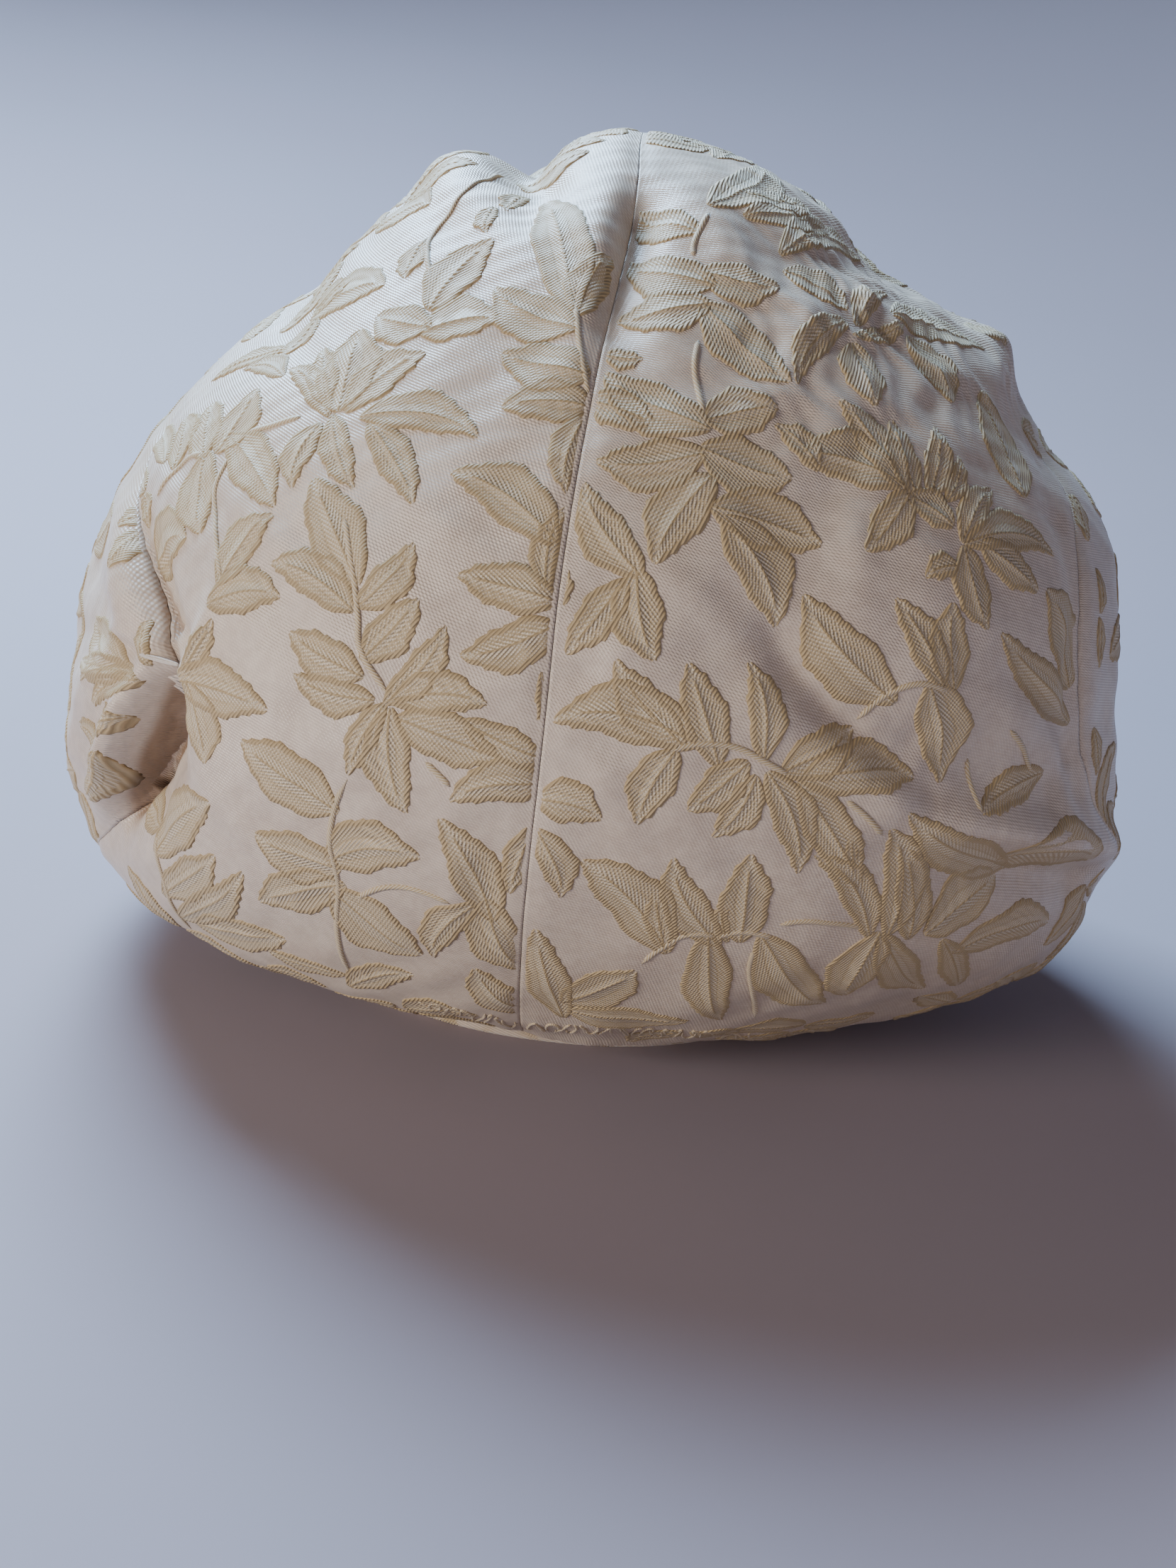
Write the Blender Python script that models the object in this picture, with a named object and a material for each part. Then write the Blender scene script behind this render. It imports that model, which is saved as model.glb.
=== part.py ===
"""Turban hat in leaf brocade: two back panels, one draped front panel, a head band and a thread tack.

The hat stands level on its head band with the opening down. X runs to the right as the hat is seen
from behind, Y towards the wearer's face, Z up. The origin is on the surface under the middle of the
hat. The cloth is one soft form, worked out in mm round an upright axis at AXIS_AT: level sections give
its outline and folds push it in or out. Azimuths are in degrees from the middle of the back towards
the right, and a level counts rows of the section table, 0 at the rim and 8 at the very top.
"""
import bpy
import numpy as np

# Sizes are in mm, angles in degrees.
MM = 0.001
AXIS_AT = (-4.8, -1.2, 0.0)
CLOTH_THICK = 2.0
SEAM_HALF_GAP = 0.22
SQUARENESS = 2.15
POLE_LEVEL = 8.0
LEVEL_STEP = 0.02
SEAM_DIP = 0.8
SEAM_DIP_WIDTH = 4.0
FOLD_STEPS = 4
STRETCH_BLEND = 6.0
PANEL_ROWS = 33
BACK_COLUMNS = 25
FRONT_COLUMNS = 36
SEAM_CROWDING = 0.4
BAND_GAP = 0.55
BAND_THICK = 2.5
BAND_HEIGHT = 24.0
BAND_SIDES = 56
TACK_RADIUS = 0.9
TACK_HALF_LENGTH = 6.5
TACK_LIFT = 0.5
TACK_SIDES = 8
TACK_RINGS = 7

# Level sections in mm: height, then how far the cloth reaches from the axis.
SECTIONS = [
    # name, height, left, right, back, front
    ("rim", 7, 88, 90, 80, 108),
    ("under", 12, 126, 132, 95, 126),
    ("turn", 34, 170, 180, 128, 148),
    ("full", 78, 180, 190, 156, 160),
    ("upper", 132, 176, 181, 166, 162),
    ("shoulder", 186, 152, 168, 152, 148),
    ("slope", 236, 106, 118, 116, 116),
    ("crown", 277, 58, 62, 66, 66),
    ("top", 294, 0, 0, 0, 0),
]

# Where the three seams cross each section, in degrees from the middle of the back towards the right.
SEAMS = [
    # section, left side, centre back, right side
    ("rim", -88, -2, 88),
    ("under", -86, -2, 87),
    ("turn", -74, -1.5, 84),
    ("full", -52, -1, 72),
    ("upper", -43, -0.5, 61),
    ("shoulder", -65, -0.5, 62),
    ("slope", -84, 0.5, 82),
    ("crown", -90, 2.5, 90),
    ("top", -90, 0, 90),
]

# Folds, each a run of stations along a crease or a ridge: in is negative, out is positive, in mm.
FOLDS = [
    # fold, azimuth, level, width, height
    ("left valley", -58, 4.75, 7, 0),
    ("left valley", -48, 4.45, 8, -7),
    ("left valley", -41.5, 4.14, 8, -9),
    ("left valley", -42, 4.00, 8, -6),
    ("left valley", -42, 3.80, 11, -13),
    ("left valley", -44, 3.50, 13, -17),
    ("left valley", -48, 3.15, 12, -15),
    ("left valley", -56, 2.72, 9, -6),
    ("left valley", -64, 2.40, 7, 0),
    ("left roll above", -66, 4.75, 9, 1),
    ("left roll above", -55, 4.40, 9, 3),
    ("left roll above", -51, 4.12, 8, 4),
    ("left roll above", -52, 3.95, 8, 2),
    ("left roll below", -55, 3.75, 9, 2),
    ("left roll below", -61, 3.40, 10, 2),
    ("left roll below", -67, 2.95, 9, 3),
    ("left roll below", -74, 2.60, 8, 0),
    ("gather high", -48, 4.02, 8, -2),
    ("gather high", -66, 4.20, 10, -3),
    ("gather middle", -49, 3.93, 8, -2),
    ("gather middle", -70, 3.80, 10, -3),
    ("right ridge", 22, 4.00, 12, 0),
    ("right ridge", 38, 3.76, 10, 3),
    ("right ridge", 54, 3.56, 9, 5),
    ("right ridge", 68, 3.28, 8, 6),
    ("right ridge", 78, 3.05, 9, 4),
    ("right valley above", 12, 4.75, 16, 0),
    ("right valley above", 26, 4.34, 15, -4),
    ("right valley above", 38, 4.02, 12, -5),
    ("right valley above", 54, 3.80, 9, -4),
    ("right valley below", 36, 3.50, 9, 0),
    ("right valley below", 50, 3.32, 9, -4),
    ("right valley below", 64, 3.06, 8, -4),
    ("right seam sink", 60, 5.15, 7, -2),
    ("right seam sink", 57, 4.40, 7, -4),
    ("right seam sink", 60, 3.70, 7, -3),
    ("right roll", 84, 5.40, 9, 0),
    ("right roll", 72, 4.80, 9, 1),
    ("right roll", 72, 4.00, 9, 1),
    ("right roll", 78, 3.45, 8, 1),
    ("crown notch", -12, 6.55, 9, 0),
    ("crown notch", -24, 6.95, 10, -8),
    ("crown notch", -60, 7.38, 11, -13),
    ("crown notch", -115, 7.30, 12, -9),
    ("crown notch", -135, 6.80, 14, 0),
    ("left bump", -32, 6.55, 12, 0),
    ("left bump", -54, 6.95, 12, 6),
    ("left bump", -90, 6.95, 13, 6),
    ("right bump", 58, 5.90, 13, 3),
    ("right bump", 84, 6.00, 14, 11),
    ("right bump", 108, 5.90, 16, 4),
    ("right hollow", 30, 6.50, 12, -2),
    ("right hollow", 62, 6.62, 15, -6),
    ("right hollow", 95, 6.65, 16, -7),
    ("right notch", 66, 5.50, 9, -2),
    ("right notch", 92, 5.50, 8, -2),
    ("right underside", 24, 1.80, 26, -2),
    ("right underside", 48, 1.95, 28, -9),
    ("right underside", 66, 2.00, 24, -5),
    ("left shoulder dent", -34, 5.60, 16, 0),
    ("left shoulder dent", -52, 5.80, 15, -4),
    ("left shoulder dent", -80, 6.10, 15, -4),
    ("back trough", 26, 5.70, 20, 0),
    ("back trough", 24, 5.20, 20, -4),
    ("back trough", 22, 4.70, 18, -3),
    ("seam valley", 4.5, 7.05, 7, 0),
    ("seam valley", 4.5, 6.75, 7, -4),
    ("seam valley", 4.0, 6.30, 7, -4),
    ("seam valley", 2.5, 5.75, 7, 0),
    ("seam roll", -3.5, 7.00, 7, 0),
    ("seam roll", -3.0, 6.60, 7, 2),
    ("seam roll", -3.2, 6.10, 7, 2),
    ("seam roll", -3.0, 5.60, 7, 0),
    ("crown pucker one", 14, 6.90, 9, 1),
    ("crown pucker one", 30, 6.20, 9, 2),
    ("crown pucker two", 26, 7.10, 9, 1),
    ("crown pucker two", 46, 6.30, 9, 2),
    ("nape fold", -4, 1.10, 8, 1),
    ("nape fold", 10, 1.25, 8, 3),
    ("nape fold", 24, 1.20, 8, 1),
    ("front fold high", 100, 4.60, 14, 0),
    ("front fold high", 135, 5.10, 16, 6),
    ("front fold high", 180, 5.30, 17, 7),
    ("front fold high", 225, 5.10, 16, 6),
    ("front fold high", 260, 4.70, 14, 0),
    ("front fold middle", 98, 3.90, 13, 0),
    ("front fold middle", 135, 4.00, 15, 6),
    ("front fold middle", 180, 4.05, 16, 7),
    ("front fold middle", 225, 4.05, 15, 6),
    ("front fold middle", 262, 4.00, 13, 0),
    ("front fold low", 100, 3.10, 12, 0),
    ("front fold low", 135, 2.90, 14, 5),
    ("front fold low", 180, 2.80, 15, 6),
    ("front fold low", 225, 2.95, 14, 5),
    ("front fold low", 258, 3.20, 12, 0),
]

# The tack: name, azimuth, level.
TACK = ("side_tack", -43.5, 4.0)
BROCADE_COLOUR = (0.72, 0.61, 0.44, 1)
BAND_COLOUR = (0.70, 0.59, 0.42, 1)
THREAD_COLOUR = (0.80, 0.72, 0.56, 1)


def through_rows(rows, level):
    """Catmull-Rom through the rows of a table, at levels counted in rows."""
    level = np.asarray(level, float)
    low = np.clip(np.floor(level).astype(int), 0, len(rows) - 4)
    part = (level - low)[..., None]
    before, start, end, after = (rows[low + k] for k in range(4))
    cubic = 3 * (start - end) + after - before
    square = 2 * before - 5 * start + 4 * end - after
    return start + 0.5 * part * (end - before + part * (square + part * cubic))


def padded(table, over_the_pole):
    """A table's numbers with a row continued past each end; over_the_pole turns the last one round."""
    rows = np.array([row[1:] for row in table], float)
    return np.vstack([2 * rows[0] - rows[1], rows, rows[-2] * over_the_pole])


SECTION_ROWS = padded(SECTIONS, np.array([1, -1, -1, -1, -1]))
SEAM_ROWS = padded(SEAMS, np.ones(3))


def smooth_form(azimuth, level):
    """The hat before its folds: a rounded plan outline whose four reaches change with the level."""
    azimuth, level = np.broadcast_arrays(np.asarray(azimuth, float), np.asarray(level, float))
    height, left, right, back, front = np.moveaxis(through_rows(SECTION_ROWS, level), -1, 0)
    across = np.sin(np.radians(azimuth))
    ahead = -np.cos(np.radians(azimuth))
    half_width = np.maximum(np.where(across > 0, right, left), 1e-9)
    half_depth = np.maximum(np.where(ahead < 0, back, front), 1e-9)
    spread = (np.abs(across) / half_width) ** SQUARENESS + (np.abs(ahead) / half_depth) ** SQUARENESS
    reach = spread ** (-1 / SQUARENESS)
    return np.stack([reach * across, reach * ahead, height], -1)


def outward(surface, azimuth, level):
    """Unit normals by small steps along and up the surface, straight up at the very top."""
    level = np.minimum(level, POLE_LEVEL - 2 * LEVEL_STEP)
    along = surface(azimuth + 0.5, level) - surface(azimuth - 0.5, level)
    up = surface(azimuth, level + LEVEL_STEP) - surface(azimuth, level - LEVEL_STEP)
    normal = np.cross(along, up)
    return normal / np.linalg.norm(normal, axis=-1, keepdims=True)


def fold_stations():
    """Each fold as points along its path on the smooth form, with a width and a height at each."""
    names = [row[0] for row in FOLDS]
    for name in dict.fromkeys(names):
        rows = np.array([row[1:] for row in FOLDS if row[0] == name], float)
        steps = np.linspace(0, len(rows) - 1, FOLD_STEPS * (len(rows) - 1) + 1)
        columns = [np.interp(steps, np.arange(len(rows)), column) for column in rows.T]
        yield smooth_form(columns[0], columns[1]), columns[2], columns[3]


def fold_height(points):
    """How far the folds push each point out: a bell across every fold, blended over its nearest stretches."""
    total = np.zeros(points.shape[:-1])
    for path, width, height in fold_stations():
        start, run = path[:-1], np.diff(path, axis=0)
        offset = points[..., None, :] - start
        along = np.clip((offset * run).sum(-1) / (run ** 2).sum(-1), 0, 1)
        distance = np.linalg.norm(offset - along[..., None] * run, axis=-1)
        nearness = (distance / (width[:-1] + along * np.diff(width))) ** 2
        weight = np.exp(-STRETCH_BLEND * (nearness - nearness.min(-1, keepdims=True)))
        push = (height[:-1] + along * np.diff(height)) * np.exp(-nearness)
        total += (weight * push).sum(-1) / weight.sum(-1)
    return total


def seam_sink(azimuth, level, points):
    """The small dip that the stitching pulls along each of the three seams."""
    reach = np.hypot(points[..., 0], points[..., 1])
    total = np.zeros(points.shape[:-1])
    seams = through_rows(SEAM_ROWS, level)
    for column in range(3):
        turn = (azimuth - seams[..., column] + 180) % 360 - 180
        distance = np.radians(turn) * reach
        total -= SEAM_DIP * np.exp(-(distance / SEAM_DIP_WIDTH) ** 2)
    return total


def hat_surface(azimuth, level):
    """The outer face of the cloth in mm."""
    azimuth, level = np.broadcast_arrays(np.asarray(azimuth, float), np.asarray(level, float))
    points = smooth_form(azimuth, level)
    push = fold_height(points) + seam_sink(azimuth, level, points)
    fade = np.clip(level, 0, 1)
    return points + outward(smooth_form, azimuth, level) * (push * fade)[..., None]


def hat_normals(azimuth, level):
    """Unit normals of the finished outer face."""
    return outward(hat_surface, azimuth, level)


def crowded(count):
    """Places from 0 to 1 across a panel, closer together near both of its seams."""
    even = np.linspace(0, 1, count)
    return even - SEAM_CROWDING / (2 * np.pi) * np.sin(2 * np.pi * even)


def panel_faces_of_cloth(first_seam, last_seam, turn, columns):
    """Outer and inner points of one panel in mm, as rows by columns; the top row is all one point.

    The panel runs round from one column of the seam table to another, which turn brings on by whole
    turns. Each of its edges is drawn back from the seam by half the gap.
    """
    level = np.linspace(0, POLE_LEVEL, PANEL_ROWS)
    seams = through_rows(SEAM_ROWS, level)
    first = seams[:, first_seam]
    last = seams[:, last_seam] + turn
    half_corner = np.radians(last[-1] - first[-1]) / 2
    middle = np.radians(first[-1] + last[-1]) / 2
    reach = np.maximum(np.linalg.norm(smooth_form(0.0, level)[:, :2], axis=-1), 1)
    back_off = np.degrees(SEAM_HALF_GAP / reach)
    azimuth = (first + back_off)[:, None] + (last - first - 2 * back_off)[:, None] * crowded(columns)
    level = np.broadcast_to(level[:, None], azimuth.shape)
    outer = hat_surface(azimuth, level)
    normal_at = azimuth.copy()
    normal_at[:, 0] = first
    normal_at[:, -1] = last
    inner = outer - CLOTH_THICK * hat_normals(normal_at, level)
    inner[0, :, :2] = outer[0, :, :2]
    corner = np.array([np.sin(middle), -np.cos(middle), 0]) * SEAM_HALF_GAP / np.sin(half_corner)
    outer[-1] = hat_surface(0.0, POLE_LEVEL) + corner
    inner[-1] = outer[-1] - [0, 0, CLOTH_THICK]
    return outer, inner


def point_numbers(rows, columns, start):
    """Vertex numbers of a grid whose top row is one shared vertex."""
    numbers = start + np.arange(rows * columns).reshape(rows, columns)
    numbers[-1] = numbers[-1, 0]
    return numbers


def strips(lower, upper):
    """Four-cornered faces between two lines of vertex numbers, three-cornered where they meet."""
    faces = []
    for corners in zip(lower[:-1], lower[1:], upper[1:], upper[:-1]):
        faces.append([int(n) for n in dict.fromkeys(corners)])
    return faces


def seam_edge(out, back, first):
    """Three-cornered faces of a seam edge, split the same way on both sides of the seam."""
    faces = []
    for a, b, c, d in zip(out[:-1], out[1:], back[:-1], back[1:]):
        pair = [(a, b, d), (a, d, c)] if first else [(a, d, b), (a, c, d)]
        faces += [[int(n) for n in corners] for corners in pair]
    return faces


def make_object(name, points, faces, material, smooth):
    """A mesh object from points in mm, without the points that no face uses."""
    used = sorted({n for face in faces for n in face})
    renumbered = {n: i for i, n in enumerate(used)}
    mesh = bpy.data.meshes.new(name)
    corners = [[renumbered[n] for n in face] for face in faces]
    mesh.from_pydata(((points[used] + AXIS_AT) * MM).tolist(), [], corners)
    mesh.materials.append(material)
    mesh.polygons.foreach_set("use_smooth", [smooth] * len(mesh.polygons))
    obj = bpy.data.objects.new(name, mesh)
    bpy.context.scene.collection.objects.link(obj)
    return obj


def make_panel(name, first_seam, last_seam, turn, columns, material):
    """One panel as a closed skin of cloth: outer face, inner face, rim and both seam edges."""
    outer, inner = panel_faces_of_cloth(first_seam, last_seam, turn, columns)
    out = point_numbers(PANEL_ROWS, columns, 0)
    back = point_numbers(PANEL_ROWS, columns, out.size)
    faces = []
    for row in range(PANEL_ROWS - 1):
        faces += strips(out[row], out[row + 1])
        faces += strips(back[row, ::-1], back[row + 1, ::-1])
    faces += strips(back[0], out[0])
    faces += seam_edge(out[:, 0], back[:, 0], True)
    faces += seam_edge(out[:, -1], back[:, -1], False)
    points = np.vstack([outer.reshape(-1, 3), inner.reshape(-1, 3)])
    return make_object(name, points, faces, material, True)


def make_head_band(material):
    """The upright band inside the rim: it stands a little below the turned edge and the hat rests on it."""
    azimuth = np.linspace(0, 360, BAND_SIDES, endpoint=False)
    rim = smooth_form((azimuth + 180) % 360 - 180, 0.0)[:, :2]
    reach = np.linalg.norm(rim, axis=-1, keepdims=True)
    outside = rim * (1 - BAND_GAP / reach)
    inside = rim * (1 - (BAND_GAP + BAND_THICK) / reach)
    rings = [(outside, 0), (outside, BAND_HEIGHT), (inside, BAND_HEIGHT), (inside, 0)]
    points = np.vstack([np.column_stack([ring, np.full(BAND_SIDES, z)]) for ring, z in rings])
    loops = np.arange(4 * BAND_SIDES).reshape(4, BAND_SIDES)
    loops = np.hstack([loops, loops[:, :1]])
    faces = []
    for below, above in ((0, 1), (1, 2), (2, 3), (3, 0)):
        faces += strips(loops[below], loops[above])
    return make_object("head_band", points, faces, material, False)


def make_tack(name, azimuth, level, material):
    """A short bar of thread bridging the side seam, a little above the cloth at both ends."""
    half_turn = np.degrees(TACK_HALF_LENGTH / np.linalg.norm(smooth_form(azimuth, level)[:2]))
    ends = [azimuth - half_turn, azimuth + half_turn]
    start, end = hat_surface(ends, level) + TACK_LIFT * hat_normals(np.array(ends), level)
    length = np.linalg.norm(end - start)
    axis = (end - start) / length
    side = np.cross(axis, [0, 0, 1])
    side /= np.linalg.norm(side)
    rise = np.cross(axis, side)
    place = np.sin(np.linspace(-np.pi / 2, np.pi / 2, TACK_RINGS))
    swell = TACK_RADIUS * np.sqrt(1 - place ** 6)
    turn = np.linspace(0, 2 * np.pi, TACK_SIDES, endpoint=False)
    circle = np.cos(turn)[:, None] * side + np.sin(turn)[:, None] * rise
    centre = (start + end) / 2 + place[:, None] * axis * length / 2
    points = (centre[:, None] + swell[:, None, None] * circle).reshape(-1, 3)
    rings = np.arange(TACK_RINGS * TACK_SIDES).reshape(TACK_RINGS, TACK_SIDES)
    rings[0] = rings[0, 0]
    rings[-1] = rings[-1, 0]
    rings = np.hstack([rings, rings[:, :1]])
    faces = []
    for ring in range(TACK_RINGS - 1):
        faces += [face for face in strips(rings[ring], rings[ring + 1]) if len(face) > 2]
    return make_object(name, points, faces, material, True)


def make_material(name, colour, roughness):
    """A plain cloth or thread material."""
    material = bpy.data.materials.new(name)
    material.use_nodes = True
    shader = material.node_tree.nodes["Principled BSDF"]
    shader.inputs["Base Color"].default_value = colour
    shader.inputs["Roughness"].default_value = roughness
    shader.inputs["Metallic"].default_value = 0.0
    return material


def brocade():
    return make_material("leaf_brocade", BROCADE_COLOUR, 0.55)


def band_cloth():
    return make_material("band_brocade", BAND_COLOUR, 0.6)


def thread():
    return make_material("tack_thread", THREAD_COLOUR, 0.7)


def clear_scene():
    for obj in list(bpy.data.objects):
        bpy.data.objects.remove(obj)


def main():
    clear_scene()
    cloth = brocade()
    make_panel("back_panel_left", 0, 1, 0, BACK_COLUMNS, cloth)
    make_panel("back_panel_right", 1, 2, 0, BACK_COLUMNS, cloth)
    make_panel("front_panel", 2, 0, 360, FRONT_COLUMNS, cloth)
    make_head_band(band_cloth())
    make_tack(*TACK, thread())


if __name__ == "__main__":
    main()
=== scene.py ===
# %% [markdown]
# # Turban hat in leaf brocade
#
# A soft, full turban: two back panels and one draped front panel meet in three seams that run up to
# the crown, and a head band stands inside the lower edge. A few stitches of thread pull the cloth
# together at the left side seam, and folds run from there and from the right side seam.
#
# The hat stands level on its band. X runs to the right as the hat is seen from behind, Y towards the
# wearer's face and Z up. First the imported frame is read.

# %% The frame
import math
import bpy
import numpy as np
from mathutils import Matrix


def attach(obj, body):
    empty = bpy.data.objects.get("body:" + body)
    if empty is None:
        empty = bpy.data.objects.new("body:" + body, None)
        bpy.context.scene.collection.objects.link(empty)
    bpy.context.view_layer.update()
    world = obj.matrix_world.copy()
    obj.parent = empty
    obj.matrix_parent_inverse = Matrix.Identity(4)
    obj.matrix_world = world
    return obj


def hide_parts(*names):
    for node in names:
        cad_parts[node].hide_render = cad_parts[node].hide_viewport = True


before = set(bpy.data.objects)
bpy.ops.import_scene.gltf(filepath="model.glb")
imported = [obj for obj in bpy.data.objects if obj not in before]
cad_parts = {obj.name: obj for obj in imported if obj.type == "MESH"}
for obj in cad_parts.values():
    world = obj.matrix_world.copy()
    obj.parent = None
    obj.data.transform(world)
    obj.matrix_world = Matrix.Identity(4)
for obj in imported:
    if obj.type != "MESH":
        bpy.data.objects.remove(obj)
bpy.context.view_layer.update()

print("frame:", ", ".join(sorted(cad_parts)))

# %% [markdown]
# ## The form in mm
#
# The cloth is one soft form round an upright axis. Level sections say how far it reaches to each side
# at nine heights, and a level counts those rows, 0 at the rim and 8 at the very top. An azimuth is in
# degrees from the middle of the back towards the right. Such a form could be sculpted by hand, but a
# table of sections can be measured, changed and used again by every piece that lies on it.

# %% Sizes and sections
MM = 0.001
AXIS_AT = (-4.8, -1.2, 0.0)
CLOTH_THICK = 2.0
SEAM_HALF_GAP = 0.08
SQUARENESS = 2.15
POLE_LEVEL = 8.0
SEAM_DIP = 0.8
SEAM_DIP_WIDTH = 4.0
FOLD_STEPS = 4
STRETCH_BLEND = 6.0
BAND_GAP = 0.55
BAND_THICK = 2.5
BAND_HEIGHT = 24.0
TACK_AT = (-43.5, 4.0)
TACK_HALF_LENGTH = 6.5
TACK_LIFT = 0.5

SECTIONS = [
    # height, left, right, back, front
    (7, 88, 90, 80, 108),
    (12, 126, 132, 95, 126),
    (34, 170, 180, 128, 148),
    (78, 180, 190, 156, 160),
    (132, 176, 181, 166, 162),
    (186, 152, 168, 152, 148),
    (236, 106, 118, 116, 116),
    (277, 58, 62, 66, 66),
    (294, 0, 0, 0, 0),
]

SEAMS = [
    # left side, centre back, right side: azimuths at each section
    (-88, -2, 88),
    (-86, -2, 87),
    (-74, -1.5, 84),
    (-52, -1, 72),
    (-43, -0.5, 61),
    (-65, -0.5, 62),
    (-84, 0.5, 82),
    (-90, 2.5, 90),
    (-90, 0, 90),
]
print("sections:", len(SECTIONS), "seams:", len(SEAMS[0]))

# %% [markdown]
# ## Folds
#
# On the real hat the cloth is gathered at its side seams, and folds run out from there. A fold here is
# a run of stations along a crease or a ridge. Each station says where it is, how wide the fold is
# there and how far it pushes the cloth, inwards when the height is negative. A cloth simulation would
# fold the hat as well, but nowhere near the places where this one is folded.

# %% Large folds
FOLDS = {
    # fold: stations of azimuth, level, width mm, height mm
    "left valley": [
        (-58, 4.75, 7, 0), (-48, 4.45, 8, -7), (-41.5, 4.14, 8, -9), (-42, 4.00, 8, -6),
        (-42, 3.80, 11, -13), (-44, 3.50, 13, -17), (-48, 3.15, 12, -15), (-56, 2.72, 9, -6),
        (-64, 2.40, 7, 0),
    ],
    "left roll above": [(-66, 4.75, 9, 1), (-55, 4.40, 9, 3), (-51, 4.12, 8, 4), (-52, 3.95, 8, 2)],
    "left roll below": [(-55, 3.75, 9, 2), (-61, 3.40, 10, 2), (-67, 2.95, 9, 3), (-74, 2.60, 8, 0)],
    "gather high": [(-48, 4.02, 8, -2), (-66, 4.20, 10, -3)],
    "gather middle": [(-49, 3.93, 8, -2), (-70, 3.80, 10, -3)],
    "right ridge": [
        (22, 4.00, 12, 0), (38, 3.76, 10, 3), (54, 3.56, 9, 5), (68, 3.28, 8, 6), (78, 3.05, 9, 4),
    ],
    "right valley above": [(12, 4.75, 16, 0), (26, 4.34, 15, -4), (38, 4.02, 12, -5), (54, 3.80, 9, -4)],
    "right valley below": [(36, 3.50, 9, 0), (50, 3.32, 9, -4), (64, 3.06, 8, -4)],
    "right seam sink": [(60, 5.15, 7, -2), (57, 4.40, 7, -4), (60, 3.70, 7, -3)],
    "right roll": [(84, 5.40, 9, 0), (72, 4.80, 9, 1), (72, 4.00, 9, 1), (78, 3.45, 8, 1)],
    "crown notch": [
        (-12, 6.55, 9, 0), (-24, 6.95, 10, -8), (-60, 7.38, 11, -13), (-115, 7.30, 12, -9),
        (-135, 6.80, 14, 0),
    ],
    "left bump": [(-32, 6.55, 12, 0), (-54, 6.95, 12, 6), (-90, 6.95, 13, 6)],
    "right bump": [(58, 5.90, 13, 3), (84, 6.00, 14, 11), (108, 5.90, 16, 4)],
    "right hollow": [(30, 6.50, 12, -2), (62, 6.62, 15, -6), (95, 6.65, 16, -7)],
    "right notch": [(66, 5.50, 9, -2), (92, 5.50, 8, -2)],
    "right underside": [(24, 1.80, 26, -2), (48, 1.95, 28, -9), (66, 2.00, 24, -5)],
    "left shoulder dent": [(-34, 5.60, 16, 0), (-52, 5.80, 15, -4), (-80, 6.10, 15, -4)],
    "back trough": [(26, 5.70, 20, 0), (24, 5.20, 20, -4), (22, 4.70, 18, -3)],
    "seam valley": [(4.5, 7.05, 7, 0), (4.5, 6.75, 7, -4), (4.0, 6.30, 7, -4), (2.5, 5.75, 7, 0)],
    "seam roll": [(-3.5, 7.00, 7, 0), (-3.0, 6.60, 7, 2), (-3.2, 6.10, 7, 2), (-3.0, 5.60, 7, 0)],
    "crown pucker one": [(14, 6.90, 9, 1), (30, 6.20, 9, 2)],
    "crown pucker two": [(26, 7.10, 9, 1), (46, 6.30, 9, 2)],
    "nape fold": [(-4, 1.10, 8, 1), (10, 1.25, 8, 3), (24, 1.20, 8, 1)],
    "front fold high": [
        (100, 4.60, 14, 0), (135, 5.10, 16, 6), (180, 5.30, 17, 7), (225, 5.10, 16, 6), (260, 4.70, 14, 0),
    ],
    "front fold middle": [
        (98, 3.90, 13, 0), (135, 4.00, 15, 6), (180, 4.05, 16, 7), (225, 4.05, 15, 6), (262, 4.00, 13, 0),
    ],
    "front fold low": [
        (100, 3.10, 12, 0), (135, 2.90, 14, 5), (180, 2.80, 15, 6), (225, 2.95, 14, 5), (258, 3.20, 12, 0),
    ],
}
print("fold stations:", sum(len(stations) for stations in FOLDS.values()))

# %% [markdown]
# ## From tables to a surface
#
# Catmull-Rom curves run through the table rows, so the form is smooth from rim to crown. Its plan is
# a rounded outline with four reaches, squarer than an ellipse. The folds are pressed into a map of
# heights over azimuth and level, which is read back smoothly wherever a point of cloth is needed.

# %% The smooth form
FORM_STEP = 0.02
FORM_TURN = 0.5


def curve_weights(part):
    """Catmull-Rom weights of four neighbours, at a part from 0 to 1 between the middle two."""
    square = part ** 2
    cube = part ** 3
    return [
        (2 * square - part - cube) / 2,
        1 - 2.5 * square + 1.5 * cube,
        (part + 4 * square - 3 * cube) / 2,
        (cube - square) / 2,
    ]


def through_rows(rows, level):
    """A Catmull-Rom curve through the rows of a padded table, at levels counted in rows."""
    level = np.asarray(level, float)
    low = np.clip(np.floor(level).astype(int), 0, len(rows) - 4)
    weights = curve_weights((level - low)[..., None])
    return sum(weight * rows[low + k] for k, weight in enumerate(weights))


def padded(table, over_the_pole):
    """A table with a row carried on past each end; over_the_pole turns the last one round."""
    rows = np.array(table, float)
    return np.vstack([2 * rows[0] - rows[1], rows, rows[-2] * over_the_pole])


SECTION_ROWS = padded(SECTIONS, np.array([1, -1, -1, -1, -1]))
SEAM_ROWS = padded(SEAMS, np.ones(3))


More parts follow.
